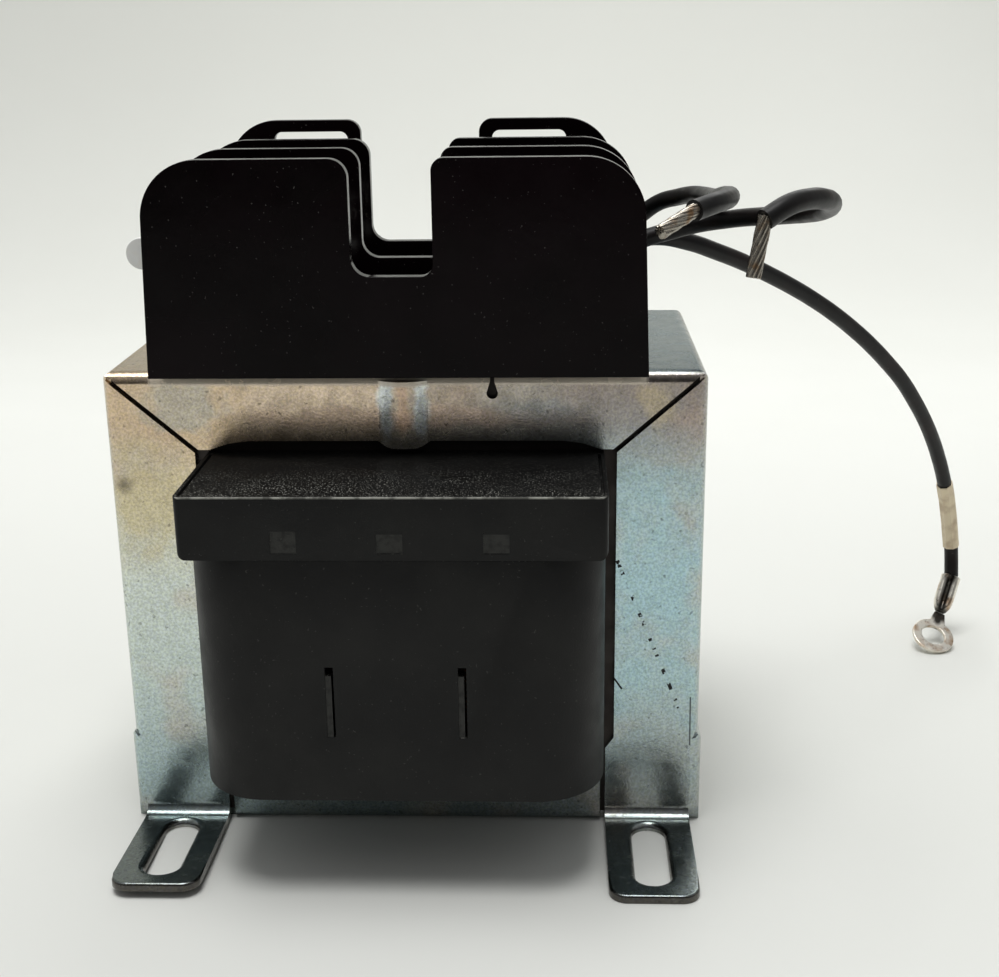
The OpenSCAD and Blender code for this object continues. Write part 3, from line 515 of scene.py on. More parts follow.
@dataclass(frozen=True)
class CrimpedTin(Clouded):
    """Tinned copper of the ring and barrel, with painted shade in the folded seam and at the neck.
    """

    name: str = "crimped_tin"
    tone: str = "#E6E1D6"
    cloud_tone: str = "#A88766"
    cloud_mm: float = 2.4
    rough: Spot = (0.26, 0.42)
    metal: float = 1.0
    shade: str = "#1D1A18"
    seam_from: Point = (0.0, 0.0, 0.0)
    seam_along: Point = (0.0, 0.0, 1.0)
    neck: Point = (0.0, 0.0, 0.0)

    def tint(self, pen: Pen, colour: Socket) -> Socket:
        """Paint shade along the seam line of the barrel and at the neck of the tongue."""
        gap = pen.vector("SUBTRACT", pen.place, self.seam_from)
        off = pen.vector("LENGTH", pen.vector("CROSS_PRODUCT", gap, self.seam_along))
        seam = pen.ramp(off, 0.6 * MM, 1.2 * MM, 0.95, 0.0)
        near = pen.vector("DISTANCE", pen.place, self.neck)
        neck = pen.ramp(near, 1.7 * MM, 3.0 * MM, 0.92, 0.0)
        # The seam and the neck are painted dark: painted shade.
        return pen.blend(pen.most(seam, neck), colour, self.shade)


@dataclass(frozen=True)
class ScuffedPVC(Clouded):
    """Extruded wire insulation: satin, with wax haze and small scuffs."""

    scuff_tone: str = "#5A5652"

    def tint(self, pen: Pen, colour: Socket) -> Socket:
        """Scuff the surface pale here and there."""
        return pen.blend(pen.grain(0.9, 0.0, 0.3, (0.70, 0.80)), colour, self.scuff_tone)


@dataclass(frozen=True)
class Banded(Finish):
    """Thin layers stacked along one axis, under varnish that pools in places.

    At a scale of 1, one band of the wave texture is BAND wide.
    """

    BAND: ClassVar[float] = 0.314
    tone: str
    gap_tone: str
    axis: str
    layer_mm: float
    waver: float
    detail: float
    fineness: float
    pool_mm: float
    pool_most: float
    pool_edges: Spot
    rough_mm: float
    rough: Spot
    rough_detail: float
    metal: float
    depth_mm: float
    strength: float

    def paint(self, pen: Pen) -> None:
        """One line or ridge for each layer, with varnish pooled between."""
        scale = self.BAND / (self.layer_mm * MM)
        layers = pen.add("TexWave", {"Vector": pen.place, "Scale": scale,
                                     "Distortion": self.waver, "Detail": self.detail,
                                     "Detail Scale": self.fineness},
                         wave_type="BANDS", bands_direction=self.axis).outputs[0]
        pool = pen.grain(self.pool_mm, 0.0, self.pool_most, self.pool_edges, 4.0)
        tone = pen.blend(layers, self.gap_tone, self.tone)
        pen.surface(base=pen.blend(pool, tone, self.gap_tone), metal=self.metal,
                    rough=pen.grain(self.rough_mm, *self.rough, detail=self.rough_detail))
        pen.relief(layers, self.depth_mm, self.strength)


@dataclass(frozen=True)
class GlossyPhenolic(Finish):
    """Moulded phenolic: near black with a trace of red, glossy from the mould."""

    name: str = "glossy_phenolic"
    tone: str = "#080405"
    warm: str = "#10080B"
    lint_tone: str = "#8E8A88"

    def paint(self, pen: Pen) -> None:
        """Faint flow marks in the colour, and a smooth, slightly uneven gloss."""
        tone = pen.blend(pen.grain(22.0, 0.0, 1.0, detail=3.0), self.tone, self.warm)
        lint = pen.grain(0.5, 0.0, 0.22, (0.74, 0.78), 1.0)
        rough = pen.grain(6.0, 0.13, 0.22, detail=5.0)
        pen.surface(base=pen.blend(lint, tone, self.lint_tone), rough=pen.most(rough, lint),
                    ior=1.55, gloss=0.07)
        pen.relief(pen.grain(4.0, 0.0, 1.0, (0.2, 0.8), 3.0), 0.03, 0.25)


@dataclass(frozen=True)
class PaleSweep(Finish):
    """Matte paper sweep that the part stands on, off-white, with painted shade far behind and on
    the floor.
    """

    name: str = "pale_sweep"
    tone: str = "#F1F2ED"
    cloud_tone: str = "#E9EAE4"
    far_shade_tone: str = "#D3D4CD"
    floor_shade_tone: str = "#E3E4DF"

    def paint(self, pen: Pen) -> None:
        """Paper tone with hardly visible clouds, and painted shade: a little darker far behind,
        and the floor up to a little behind the part darker than the sweep further back.
        """
        back = pen.split(pen.place)["Y"]
        paper = pen.blend(pen.grain(120.0, 0.0, 0.35, detail=3.0), self.tone, self.cloud_tone)
        # Painted shade: darker far behind, and on the floor up to a little behind the part.
        paper = pen.blend(pen.ramp(back, 0.30, 0.76, 0.0, 0.8), paper, self.far_shade_tone)
        paper = pen.blend(pen.ramp(back, 0.04, 0.26, 1.0, 0.0), paper, self.floor_shade_tone)
        pen.surface(base=paper, rough=0.7, gloss=0.2)


# Tin-plated copper alloy strip, soft white metal.
TINNED_STRIP = Clouded("tinned_strip", "#C4C2BA", "#8E7F68", metal=1.0)

# Zinc-plated steel screws with a yellow passivation.
PLATED_SCREW = Clouded("plated_screw", "#C9BC94", "#8C8A7C", cloud_mm=1.5, metal=1.0)

# Tinned copper strands, with copper glinting where the tin is thin.
TINNED_STRAND = Clouded("tinned_strand", "#989288", "#7A5A36", cloud_mm=1.6,
                        rough=(0.18, 0.34), metal=1.0)

# Dull tin dip on the rolled tip of the end lug, nearly white.
DULL_TIN = Clouded("dull_tin", "#FFFFFC", "#EEE8DA", cloud_mm=3.0, rough=(0.42, 0.55))

# Extruded PVC wire insulation with a nylon-like shine.
INSULATION = ScuffedPVC("satin_insulation", "#0D0C0C", "#1A0E0B", cloud_mm=6.0,
                        cloud_most=0.7, cloud_edges=(0.4, 0.75), rough_mm=2.5,
                        rough=(0.36, 0.48), bump_mm=1.2, bump_detail=3.0, depth_mm=0.03,
                        ior=1.53, gloss=0.24)

# Heat-shrunk marker sleeve in an ivory tone, a little soiled and puckered.
SHRINK_SLEEVE = Clouded("shrink_sleeve", "#E8D8BA", "#BEA688", cloud_mm=3.0,
                        cloud_edges=(0.42, 0.75), cloud_detail=5.0, rough_mm=1.5,
                        rough=(0.48, 0.62), bump_mm=1.4, depth_mm=0.06, ior=1.49)

# Coil former of natural nylon, milky in tone and yellowed in clouds.
MOULDED_NYLON = Clouded("moulded_nylon", "#C9BFA0", "#A08E68", cloud_mm=8.0,
                        cloud_edges=(0.35, 0.75), rough_mm=2.0, rough=(0.42, 0.56),
                        bump_mm=0.8, depth_mm=0.02, ior=1.53)

# Stacked silicon-steel laminations, with a thin line for each along Y.
LAMINATIONS = Banded("varnished_laminations", "#4A4744", "#2A2320", axis="Y", layer_mm=0.5,
                     waver=0.6, detail=2.0, fineness=0.5, pool_mm=9.0, pool_most=0.7,
                     pool_edges=(0.35, 0.75), rough_mm=4.0, rough=(0.32, 0.55),
                     rough_detail=4.0, metal=0.6, depth_mm=0.05, strength=0.7)

# Enamelled copper wire, with a rounded ridge for each turn, stacked along Z.
ENAMELLED_WIRE = Banded("enamelled_wire", "#4A2A18", "#140C08", axis="Z", layer_mm=0.9,
                        waver=0.3, detail=1.0, fineness=0.3, pool_mm=10.0, pool_most=0.6,
                        pool_edges=(0.4, 0.75), rough_mm=1.5, rough=(0.26, 0.42),
                        rough_detail=3.0, metal=0.85, depth_mm=0.25, strength=0.8)


# ---- mesh tools

WELD = 2e-6
FLAT_DEG = 0.6


def pick(obj: Piece) -> None:
    """Make one object the only one selected, and the active one."""
    bpy.ops.object.select_all(action="DESELECT")
    obj.select_set(True)
    bpy.context.view_layer.objects.active = obj


def put(name: str, data: bpy.types.ID) -> Piece:
    """Put a curve, a lamp or a camera into the scene as one object."""
    obj = bpy.data.objects.new(name, data)
    bpy.context.scene.collection.objects.link(obj)
    return obj


def mode(name: str) -> None:
    """Change to EDIT or to OBJECT mode."""
    bpy.ops.object.mode_set(mode=name)


def choose(obj: Piece, kind: str, test: Test) -> int:
    """Select the vertices or edges that pass a test, and stay in edit mode.

    Args:
        obj: Mesh object.
        kind: VERT, or EDGE for edges with both ends passing.
        test: Says of a place whether it is wanted.

    Returns:
        Number of vertices or edges selected.
    """
    pick(obj)
    mode("EDIT")
    bpy.ops.mesh.select_mode(type=kind)
    bpy.ops.mesh.select_all(action="DESELECT")
    mode("OBJECT")
    passed = [test(vertex.co) for vertex in obj.data.vertices]
    count = 0
    for part in obj.data.edges if kind == "EDGE" else obj.data.vertices:
        ends = part.vertices if kind == "EDGE" else (part.index,)
        part.select = all(passed[i] for i in ends)
        count += int(part.select)
    mode("EDIT")
    return count


def round_edges(obj: Piece, test: Test, width: float, segments: int,
                clamp: bool = True) -> None:
    """Round the edges whose two ends pass a test.

    Args:
        obj: Mesh object.
        test: Says of a place whether it is wanted.
        width: Width of the rounding.
        segments: Faces across the rounding.
        clamp: Whether a rounding stops where it meets another one.
    """
    found = choose(obj, "EDGE", test)
    bpy.ops.mesh.bevel(offset=width, segments=segments, profile=0.5, affect="EDGES",
                       clamp_overlap=clamp)
    mode("OBJECT")
    log.info("%s: %d edges rounded", obj.name, found)


def shade(obj: Piece, degrees: float) -> None:
    """Shade smooth wherever two faces meet at less than an angle."""
    pick(obj)
    bpy.ops.object.shade_smooth_by_angle(angle=math.radians(degrees))


def modify(obj: Piece, kind: str, **settings: object) -> None:
    """Add one modifier, give it its settings, and apply it."""
    pick(obj)
    modifier = obj.modifiers.new(kind.lower(), kind)
    for key, value in settings.items():
        setattr(modifier, key, value)
    bpy.ops.object.modifier_apply(modifier=modifier.name)


def soften(piece: Piece, width: float, segments: int = 2,
           angle: float = 32.0) -> None:
    """Round the sharp edges of a piece and shade it.

    Args:
        piece: Mesh object.
        width: Width of the rounding.
        segments: Faces across the rounding.
        angle: Least angle in degrees of an edge that is rounded, and the
            greatest one that is shaded smooth.
    """
    modify(piece, "BEVEL", width=width, segments=segments, limit_method="ANGLE",
           angle_limit=math.radians(angle), miter_outer="MITER_ARC", use_clamp_overlap=True)
    shade(piece, angle)
    modify(piece, "WEIGHTED_NORMAL", keep_sharp=True, weight=60)


def merged_copy(node: str, name: str) -> Piece:
    """Copy a CAD node, weld its loose triangles and join its flat faces.

    Args:
        node: Name of the CAD node.
        name: Name of the new piece.

    Returns:
        The new piece, not yet riding on anything.
    """
    pick(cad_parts[node])
    bpy.ops.object.duplicate(linked=False)
    piece = bpy.context.view_layer.objects.active
    piece.name = name
    piece.data.name = name
    piece.parent = None
    piece.matrix_world = Matrix.Identity(4)
    pick(piece)
    mode("EDIT")
    bpy.ops.mesh.select_all(action="SELECT")
    bpy.ops.mesh.customdata_custom_splitnormals_clear()
    bpy.ops.mesh.remove_doubles(threshold=WELD)
    bpy.ops.mesh.dissolve_limited(angle_limit=math.radians(FLAT_DEG))
    mode("OBJECT")
    return piece


def coat(piece: Piece, finish: Finish) -> None:
    """Give a piece one finish all over."""
    piece.data.materials.clear()
    piece.data.materials.append(finish.material())
    log.info("%s: %s", piece.name, finish.name)


def place_piece(piece: Piece, finish: Finish, slot: Slot, *nodes: str) -> None:
    """Give a piece its finish and its body, and hide what it replaces.

    Args:
        piece: The finished piece.
        finish: Its finish.
        slot: Not used.
        *nodes: CAD nodes that it stands for.
    """
    coat(piece, finish)
    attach(piece, "root")
    if nodes:
        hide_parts(*nodes)


def dress(node: str, name: str, finish: Finish, slot: Slot, width: float,
          segments: int = 2) -> Piece:
    """Make a softened copy of a CAD node that stands for it.

    Args:
        node: Name of the CAD node.
        name: Name of the new piece.
        finish: Its finish.
        slot: Its material slot.
        width: Width of the rounding of its edges.
        segments: Faces across the rounding.

    Returns:
        The new piece.
    """
    piece = merged_copy(node, name)
    soften(piece, width, segments)
    place_piece(piece, finish, slot, node)
    return piece


def smooth_curve(name: str, route: list, radius: float, steps: int = 8,
                 roundness: int = 6) -> Piece:
    """Make one smooth open curve with round section through a route.

    Args:
        name: Name of the curve.
        route: Points that it passes.
        radius: Radius of the section.
        steps: Steps between two points.
        roundness: Fineness of the round section.

    Returns:
        The curve object.
    """
    data = bpy.data.curves.new(name, "CURVE")
    data.dimensions = "3D"
    data.bevel_depth = radius
    data.bevel_resolution = roundness
    data.use_fill_caps = True
    data.resolution_u = steps
    line = data.splines.new("BEZIER")
    line.bezier_points.add(len(route) - 1)
    for spot, place in zip(line.bezier_points, route):
        spot.co = place
        spot.handle_left_type = "AUTO"
        spot.handle_right_type = "AUTO"
    return put(name, data)


def helix(start: Vector, end: Vector, radius: float, turns: float, phase: float,
          count: int) -> list:
    """Points of one strand that winds round a straight line.

    Args:
        start: Where the line starts.
        end: Where it ends.
        radius: Distance of the strand from the line.
        turns: Turns over the whole length.
        phase: Angle at which the strand starts.
        count: Number of points.

    Returns:
        List of points.
    """
    side = (end - start).normalized().orthogonal().normalized()
    other = (end - start).normalized().cross(side)
    points = []
    for i in range(count):
        t = i / (count - 1)
        turn = phase + 2 * math.pi * turns * t
        points.append(start.lerp(end, t)
                      + (side * math.cos(turn) + other * math.sin(turn)) * radius)
    return points


# ---- studio


@dataclass
class Studio:
    """Camera, pale sweep and soft lamps."""

    lens_mm: float = 53.15315
    sensor_mm: float = 36.0
    place: Point = (0.025187, -0.260949, 0.135625)
    tilt_deg: Point = (72.54415, 0.70842, 2.13223)
    floor_half: float = 1.6
    floor_z: float = -0.00005
    wall_y: float = 0.75
    front_y: float = 0.9
    wall_h: float = 1.5
    sweep_r: float = 0.35
    near: float = 0.01
    room_slope: Spot = (0.8, 0.6)
    room_light: Spot = (0.05, 0.52)

    def camera(self) -> None:
        """Stand the camera in front of the part, looking a little down on it."""
        lens = bpy.data.cameras.new("view_camera")
        lens.sensor_fit = "HORIZONTAL"
        lens.sensor_width = self.sensor_mm
        lens.lens = self.lens_mm
        lens.clip_start = 0.005
        obj = put("view_camera", lens)
        turn = Euler([math.radians(v) for v in self.tilt_deg]).to_matrix().to_4x4()
        obj.matrix_world = Matrix.Translation(self.place) @ turn
        bpy.context.scene.camera = obj

    def sweep(self) -> None:
        """Floor that curves up into a backdrop far behind the part."""
        bpy.ops.object.select_all(action="DESELECT")
        bpy.ops.mesh.primitive_plane_add(size=1.0, location=(0.0, 0.0, 0.0))
        floor = bpy.context.active_object
        floor.name = "paper_sweep"
        floor.scale = (2 * self.floor_half, self.wall_y + self.front_y, 1.0)
        floor.location = (0.0, (self.wall_y - self.front_y) / 2, self.floor_z)
        bpy.ops.object.transform_apply(location=True, rotation=True, scale=True)
        choose(floor, "EDGE", lambda p: p.y > self.wall_y - self.near)
        bpy.ops.mesh.extrude_region_move(TRANSFORM_OT_translate={"value": (0, 0, self.wall_h)})
        mode("OBJECT")
        round_edges(floor, lambda p: p.y > self.wall_y - self.near and p.z < self.near,
                    self.sweep_r, 16, clamp=False)
        bpy.ops.object.shade_smooth()
        coat(floor, PaleSweep())

    def lamp(self, name: str, place: Point, aim: Point, size: float, power: float) -> None:
        """Hang one soft square lamp.

        Args:
            name: Name of the lamp.
            place: Where it hangs.
            aim: Point that it faces.
            size: Side of the square.
            power: Power in watts.
        """
        light = bpy.data.lights.new(name, "AREA")
        light.shape = "SQUARE"
        light.size = size
        light.energy = power
        obj = put(name, light)
        obj.location = place
        obj.rotation_euler = (Vector(aim) - Vector(place)).to_track_quat("-Z", "Y").to_euler()

    def room(self) -> None:
        """Soft light from all round, brighter from behind and above."""
        world = bpy.data.worlds.new("soft_room")
        bpy.context.scene.world = world
        world.use_nodes = True
        pen = Pen(world.node_tree, "Background", "Generated")
        axes = pen.split(pen.place)
        slope = pen.math("ADD", pen.times(axes["Y"], self.room_slope[0]),
                         pen.times(axes["Z"], self.room_slope[1]))
        pen.feed(pen.shader, {"Strength": pen.ramp(slope, -0.6, 0.6, *self.room_light),
                              "Color": "#FDFEFF"})

    def build(self) -> None:
        """Set up the whole studio."""
        self.camera()
        self.sweep()
        self.room()
        self.lamp("key_lamp", (-0.07, -0.11, 1.35), (-0.02, 0.0, 0.0), 0.70, 12.5)
        self.lamp("rim_lamp", (0.15, 0.62, 0.60), (0.0, 0.0, 0.08), 0.5, 1.5)
        bpy.context.scene.view_settings.view_transform = "Standard"
        log.info("studio is ready")


# ---- leads


@dataclass
class Lead:
    """One loose lead: its route in mm and where its bare strands end, if any."""

    name: str
    route_mm: list
    strand_end_mm: Optional[Point] = None

    def route(self) -> list:
        """Points of the route in metres."""
        return [tuple(v * MM for v in p) for p in self.route_mm]


@dataclass
class Leads:
    """The three leads, their bare ends, the marker sleeve and the ring."""

    lead_d: float = 0.0031
    sleeve_edge: float = 0.0001
    bundle_d: float = 0.0022
    strand_r: float = 0.000418
    strand_core_r: float = 0.0004312
    strand_count: int = 8
    strand_turns: float = 0.45
    tucked: float = 0.0006
    ring_mid: Vector = field(default_factory=lambda: Vector((0.1099, 0.05024, 0.0027347)))
    ring_normal: Vector = field(
        default_factory=lambda: Vector((0.1710101, -0.4698463, 0.8660254)))
    tongue_dir: Vector = field(
        default_factory=lambda: Vector((0.3771, 0.8433, 0.3830)).normalized())
    ring_r: float = 0.00465
    hole_r: float = 0.00265
    ring_t: float = 0.0009
    ring_edge: float = 0.0002
    mouth_deg: float = 27.0
    tongue: float = 0.0027
    tongue_taper: float = 0.66
    tongue_l: float = 0.0076
    neck_l: float = 0.0068
    barrel_d: float = 0.0043
    seam_r: float = 0.0016
    crimp_dir: Point = (-0.175, -0.810, 0.560)
    barrel_rings: tuple = ((0.0, 0.42), (0.06, 0.62), (0.16, 0.86), (0.26, 0.97), (0.38, 1.0),
                           (0.50, 1.0), (0.62, 1.0), (0.74, 1.0), (0.86, 1.0), (0.95, 1.03),
                           (1.0, 1.06))
    seam: tuple = ((42, 0.2, 0.9, 0.0002), (30, 0.2, 0.93, 0.0004), (18, 0.14, 0.98, 0.0005),
                   (9, 0.14, 1.1, 0.0004))
    leads: tuple = field(default_factory=lambda: (
        Lead("lead_1", [
            (36, 16.8, 98.3), (39.9, 17.1, 100.9), (43.8, 16.2, 103.8), (47.3, 13.1, 105.2),
            (49.5, 8.7, 106.1), (50.8, 3.8, 106.5), (51.5, -1.2, 106.8), (51.7, -6.3, 107.2),
            (51.7, -11.4, 107.7), (51.6, -16.4, 108.4), (51.6, -21.5, 109.1),
            (51.5, -26.5, 109.7), (51.4, -31.6, 110.2), (50.9, -36.6, 110.7),
            (49.9, -41.6, 110.9), (47.8, -46.2, 110.9), (44.5, -50, 110.3)],
            (39.5, -54, 107.8)),
        Lead("lead_2", [
            (36, -3.4, 98.3), (40.4, -3.3, 100), (45, -3.3, 101.3), (49.5, -4, 102.5),
            (53.7, -6, 103.4), (57.4, -9, 104.2), (60.4, -12.6, 104.8), (62.8, -16.6, 105.5),
            (64.7, -20.9, 106.2), (65.9, -25.4, 107), (66.5, -30, 108), (66.4, -34.6, 109),
            (65.5, -39.2, 110.1), (63.8, -43.5, 111), (61.1, -47.4, 111.5),
            (57.7, -50.6, 111.1), (54, -53, 109.3)],
            (52.6, -54, 101.4)),
        Lead("lead_3", [
            (36, 2.4, 98.3), (42.6, 3, 99.4), (48.7, 5.3, 98.1), (54.3, 8.4, 95.8),
            (59.6, 11.9, 93.3), (64.7, 15.4, 90.5), (69.6, 18.9, 87.6), (74.5, 22.4, 84.4),
            (79.3, 25.8, 80.9), (83.8, 29.3, 77.2), (88.2, 32.7, 73.2), (92.3, 36.1, 69),
            (96.3, 39.5, 64.5), (99.8, 42.9, 59.7), (103, 46.2, 54.8), (106, 49.7, 49.5),
            (108.6, 53, 44.1), (110.9, 56.1, 38.5), (112.9, 59.1, 32.6), (114.5, 61.4, 26.4),
            (115.7, 62.4, 19.7), (116, 61.3, 13)])))

    def bare_end(self, lead: Lead) -> Piece:
        """Twist a ring of thin strands round a core for one bare end.

        Args:
            lead: The lead whose end is stripped.

        Returns:
            One mesh object.
        """
        start = Vector(lead.route()[-1])
        end = Vector([v * MM for v in lead.strand_end_mm])
        start = start - (end - start).normalized() * self.tucked
        parts = []
        for i in range(self.strand_count):
            points = helix(start, end, self.bundle_d / 2 - self.strand_r, self.strand_turns,
                           2 * math.pi * i / self.strand_count, 9)
            parts.append(smooth_curve("strand", points, self.strand_r, 3, 2))
        parts.append(smooth_curve("strand_core", [start, start.lerp(end, 0.5), end],
                                  self.strand_core_r, 3))
        bpy.ops.object.select_all(action="DESELECT")
        for part in parts:
            part.select_set(True)
        bpy.context.view_layer.objects.active = parts[0]
        bpy.ops.object.convert(target="MESH")
        bpy.ops.object.join()
        bundle = bpy.context.view_layer.objects.active
        bundle.name = f"{lead.name}_twisted_strands"
        shade(bundle, 50.0)
        return bundle

    @staticmethod
    def blank(name: str, count: int, radius: float, fill: str) -> Piece:
        """Start a piece as a circle at the origin, all selected in edit mode."""
        bpy.ops.object.select_all(action="DESELECT")
        bpy.ops.mesh.primitive_circle_add(vertices=count, radius=radius, fill_type=fill)
        piece = bpy.context.active_object
        piece.name = name
        choose(piece, "VERT", lambda p: True)
        return piece

    def ring(self) -> Piece:
        """Stamp the flat ring and its tongue, drawn flat and then turned in place.

        Returns:
            The ring, one mesh object.
        """
        piece = self.blank("crimp_ring", 48, self.hole_r, "NOTHING")
        bpy.ops.mesh.extrude_edges_move(TRANSFORM_OT_translate={"value": (0, 0, 0)})
        grow = self.ring_r / self.hole_r
        bpy.ops.transform.resize(value=(grow, grow, 1.0), center_override=(0, 0, 0))
        mode("OBJECT")
        reach = self.ring_r * math.cos(math.radians(self.mouth_deg))
        choose(piece, "EDGE", lambda p: p.x > reach and p.length > (self.hole_r + self.ring_r) / 2)
        bpy.ops.mesh.extrude_edges_move(TRANSFORM_OT_translate={"value": (self.tongue, 0, 0)})
        bpy.ops.transform.resize(value=(0.0, self.tongue_taper, 1.0),
                                 center_override=(self.ring_r + self.tongue, 0, 0))
        mode("OBJECT")
        modify(piece, "SOLIDIFY", thickness=self.ring_t, offset=0.0)
        soften(piece, self.ring_edge)
        self.stand(piece, self.tongue_dir, self.ring_normal.cross(self.tongue_dir),
                   self.ring_mid)
        return piece

    def barrel(self) -> tuple[Piece, CrimpedTin]:
        """Draw the crimped barrel ring by ring, and fold its seam inwards.

        Returns:
            The barrel, one mesh object, and the finish that knows its seam.
        """
        foot = self.ring_mid + self.tongue_dir * self.tongue_l
        top = Vector(self.leads[2].route()[-1])
        axis, run = (top - foot).normalized(), (top - foot).length
        before, width_before = self.barrel_rings[0]
        piece = self.blank("crimp_barrel", 44, self.barrel_d / 2 * width_before, "NGON")
        for along, width in self.barrel_rings[1:]:
            bpy.ops.mesh.extrude_region_move(
                TRANSFORM_OT_translate={"value": (0, 0, (along - before) * run)})
            grow = width / width_before
            bpy.ops.transform.resize(value=(grow, grow, 1.0), center_override=(0, 0, along * run))
            before, width_before = along, width
        mode("OBJECT")
        for half_deg, low, high, depth in self.seam:
            choose(piece, "VERT", lambda p: low * run < p.z < high * run and p.x > 0
                   and abs(math.atan2(p.y, p.x)) < math.radians(half_deg))
            bpy.ops.transform.translate(value=(-depth, 0.0, 0.0))
            mode("OBJECT")
        modify(piece, "SUBSURF", levels=1, render_levels=1)
        shade(piece, 55.0)
        facing = Vector(self.crimp_dir)
        facing = (facing - axis * facing.dot(axis)).normalized()
        self.stand(piece, facing, axis.cross(facing), foot)
        return piece, CrimpedTin(seam_from=tuple(foot + facing * self.seam_r),
                                 seam_along=tuple(axis),
                                 neck=tuple(self.ring_mid + self.tongue_dir * self.neck_l))

    @staticmethod
    def stand(piece: Piece, first: Vector, second: Vector, place: Vector) -> None:
        """Turn a piece so that its X and Y follow two directions, and move it.

        Args:
            piece: Piece modelled at the origin.
            first: Where its X axis points.
            second: Where its Y axis points.
            place: Where its origin goes.
        """
        turn = Matrix((first, second, first.cross(second))).transposed().to_4x4()
        pick(piece)
        piece.matrix_world = Matrix.Translation(place) @ turn
        bpy.ops.object.transform_apply(location=True, rotation=True, scale=True)

    def build(self) -> None:
        """Lay the leads and finish what is on their ends."""
        for lead in self.leads:
            route = lead.route()
            flex = smooth_curve(f"{lead.name}_insulation", route, self.lead_d / 2)
            place_piece(flex, INSULATION, Slot.INSULATION, lead.name)
            if lead.strand_end_mm:
                bundle = self.bare_end(lead)
                place_piece(bundle, TINNED_STRAND, Slot.STRAND, f"{lead.name}_strands")
            else:
                sleeve = dress("marker_sleeve", "shrink_marker", SHRINK_SLEEVE, Slot.SLEEVE,
                               self.sleeve_edge)
                ring = self.ring()
                barrel, tin = self.barrel()
                place_piece(ring, tin, Slot.TINNED, "ring_terminal")
                place_piece(barrel, tin, Slot.TINNED)


# ---- sheet frame, core, covers, block


@dataclass
class SheetFrame:
    """Folded steel frame with its feet, mitres, bead and floor channel."""

    sheet_t: float = 0.0014
    edge: float = 0.00022
    floor_edge: float = 0.0001
    sharp_deg: float = 34.0
    slot_x: float = 0.04095
    slot_y: float = 0.0401
    slot_half_w: float = 0.0029
    slot_half_l: float = 0.00945
    rim: float = 0.0011
    rim_clear: float = 0.0014
    bend_y: float = -0.0301
    bend_top: float = 0.0024
    foot_round: float = 0.0005
    bent_deg: float = 3.2
    near: float = 2e-5
    slack: float = 1e-4

    def by_slot(self, p: Vector, margin: float) -> bool:
        """Tell whether a place is within a margin of a foot's slot."""
        return (abs(abs(p.x) - self.slot_x) < self.slot_half_w + margin
                and abs(abs(p.y) - self.slot_y) < self.slot_half_l + margin)

    def on_slot_rim(self, p: Vector) -> bool:
        """Tell whether a place is on the upper rim of a foot's slot."""
        return abs(p.z - self.sheet_t) < self.near and self.by_slot(p, self.slack)

    def on_foot_outline(self, p: Vector) -> bool:
        """Tell whether a place is on the upper outline of a foot, away from its slot."""
        return (abs(p.z - self.sheet_t) < self.near and abs(p.y) > -self.bend_y
                and not self.by_slot(p, self.rim_clear))

    def bend_left_foot(self, wrap: Piece) -> None:
        """Bend the front left foot up a little, as it was bent in use."""
        choose(wrap, "VERT", lambda p: p.x < 0 and p.y < self.bend_y and p.z < self.bend_top)
        bpy.ops.transform.rotate(value=math.radians(self.bent_deg), orient_axis="X",
                                 center_override=(0.0, self.bend_y, 0.0))
        mode("OBJECT")

    def build(self) -> None:
        """Dress the wrap, with coined slot rims, and the floor channel."""
        wrap = merged_copy("frame_wrap", "folded_wrap")
        round_edges(wrap, self.on_slot_rim, self.rim, 4, clamp=False)
        round_edges(wrap, self.on_foot_outline, self.foot_round, 4)
        self.bend_left_foot(wrap)
        soften(wrap, self.edge, 2, self.sharp_deg)
        place_piece(wrap, ZincPlatedSteel(), Slot.ZINC, "frame_wrap")
        dress("frame_floor", "floor_channel", ZincPlatedSteel(), Slot.ZINC, self.floor_edge, 1)


@dataclass
class Core:
    """Laminated core and the coil round its middle leg."""

    def build(self) -> None:
        """Finish the core and coil, which stay the CAD's own pieces."""
        for node, finish in (("core_e_stack", LAMINATIONS), ("core_i_stack", LAMINATIONS),
                             ("coil_former", MOULDED_NYLON), ("coil_winding", ENAMELLED_WIRE)):
            coat(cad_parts[node], finish)


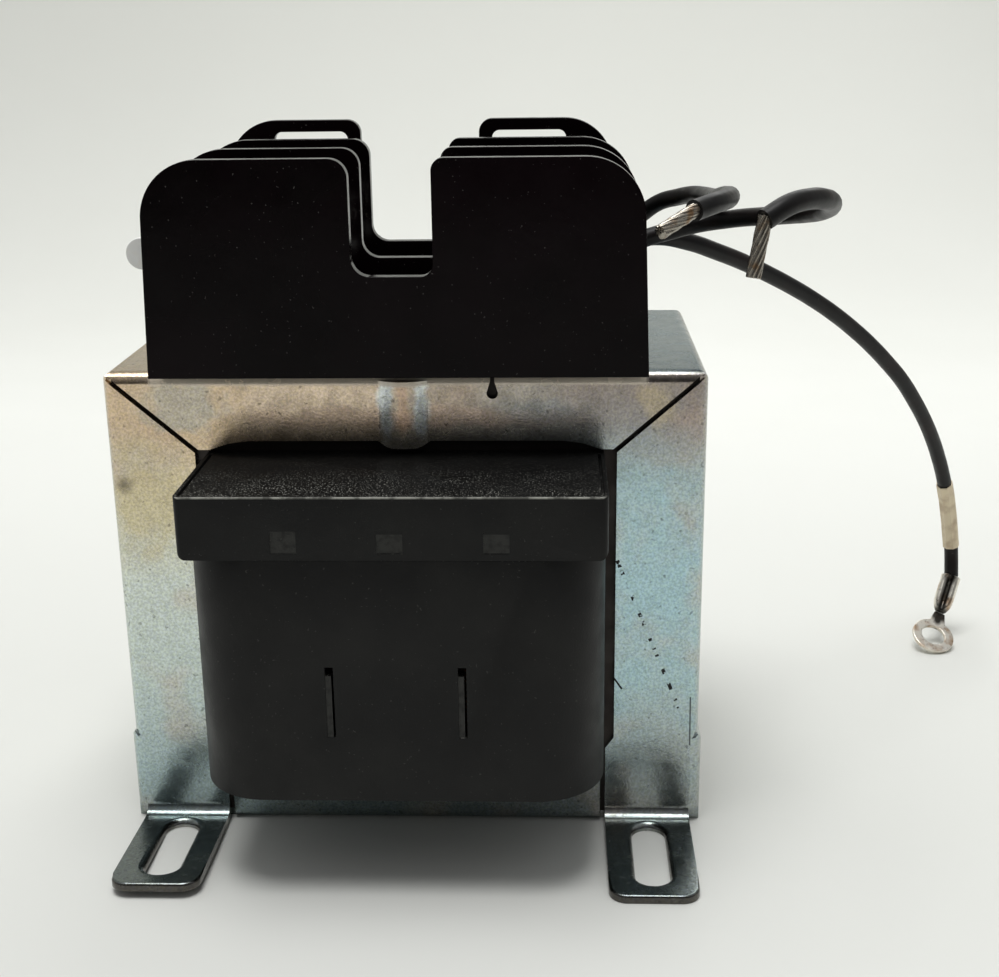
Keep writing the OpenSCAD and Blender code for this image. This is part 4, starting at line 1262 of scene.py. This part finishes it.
@dataclass
class CoilCovers:
    """Moulded covers over the coil and the caps on top of them.

    A cap meets its cover flush, without a groove. Its upper edges are rounded
    all round, its lower ones only where its corners overhang the cover.
    """

    edge: float = 0.0003
    crown: float = 0.00042
    lip: float = 0.0006
    seam_z: float = 0.0583
    upper_z: float = 0.0668
    front: float = 0.0518
    flush_x: float = 0.0212
    corner: float = 0.0012
    near: float = 3e-5
    sharp_deg: float = 40.0
    smooth_deg: float = 34.0

    def cover(self, side: str) -> None:
        """Finish one cover over the coil."""
        piece = merged_copy(f"{side}_coil_cover", f"{side}_moulded_cover")
        modify(piece, "BEVEL", width=self.edge, segments=2, limit_method="ANGLE",
               angle_limit=math.radians(self.sharp_deg), use_clamp_overlap=True)
        shade(piece, self.smooth_deg)
        place_piece(piece, MouldedCover(), Slot.COVER, f"{side}_coil_cover")

    def at_seam(self, p: Vector) -> bool:
        """Tell whether a place is at the height where cap and cover meet."""
        return abs(p.z - self.seam_z) < self.near

    def overhangs(self, p: Vector) -> bool:
        """Tell whether a place is on the lower front edge beyond the cover's face."""
        return (self.at_seam(p) and abs(p.x) > self.flush_x - self.near
                and abs(p.y) > self.front - self.corner)

    def cap(self, side: str) -> None:
        """Finish one cap on top of a cover."""
        piece = merged_copy(f"{side}_terminal_cap", f"{side}_moulded_cap")
        choose(piece, "EDGE",
               lambda p: self.at_seam(p) and abs(abs(p.y) - self.front) < self.near)
        bpy.ops.mesh.subdivide(number_cuts=5)
        mode("OBJECT")
        round_edges(piece, self.overhangs, self.lip, 3)
        round_edges(piece, lambda p: p.z > self.upper_z, self.crown, 3)
        shade(piece, self.smooth_deg)
        place_piece(piece, MouldedCover(), Slot.COVER, f"{side}_terminal_cap")

    def build(self) -> None:
        """Finish both covers and both caps."""
        for side in ("front", "rear"):
            self.cover(side)
            self.cap(side)


@dataclass
class FuseBlock:
    """Moulded fuse block, its end plate and its metal parts."""

    edge: float = 0.0002
    clip_edge: float = 0.00012
    plate_edge: float = 0.00018
    lug_edge: float = 0.0003

    def build(self) -> None:
        """Dress the mouldings, the clips, the screws and the plates."""
        dress("fuse_block", "walled_block", GlossyPhenolic(), Slot.BLOCK, self.edge, 3)
        dress("end_plate", "windowed_end_plate", GlossyPhenolic(), Slot.BLOCK, self.edge, 3)
        for side in ("left", "right"):
            for bay in (1, 2, 3):
                dress(f"clip_{side}_{bay}", f"spring_clip_{side}_{bay}", TINNED_STRIP,
                      Slot.TINNED, self.clip_edge)
            dress(f"terminal_screws_{side}", f"slotted_screws_{side}", PLATED_SCREW,
                  Slot.SCREW, self.edge)
            dress(f"pressure_plates_{side}", f"wire_plates_{side}", TINNED_STRIP,
                  Slot.SCREW, self.plate_edge)
        dress("block_screws", "fixing_screws", PLATED_SCREW, Slot.SCREW, self.edge)
        dress("end_lug", "rolled_lug", DULL_TIN, Slot.TINNED, self.lug_edge, 3)
        coat(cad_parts["conductor_stubs"], TINNED_STRAND)


def main() -> None:
    """Build every sub-assembly in order."""
    logging.basicConfig(level=logging.INFO, format="%(name)s: %(message)s")
    Studio().build()
    Leads().build()
    SheetFrame().build()
    Core().build()
    CoilCovers().build()
    FuseBlock().build()


if __name__ == "__main__":
    main()
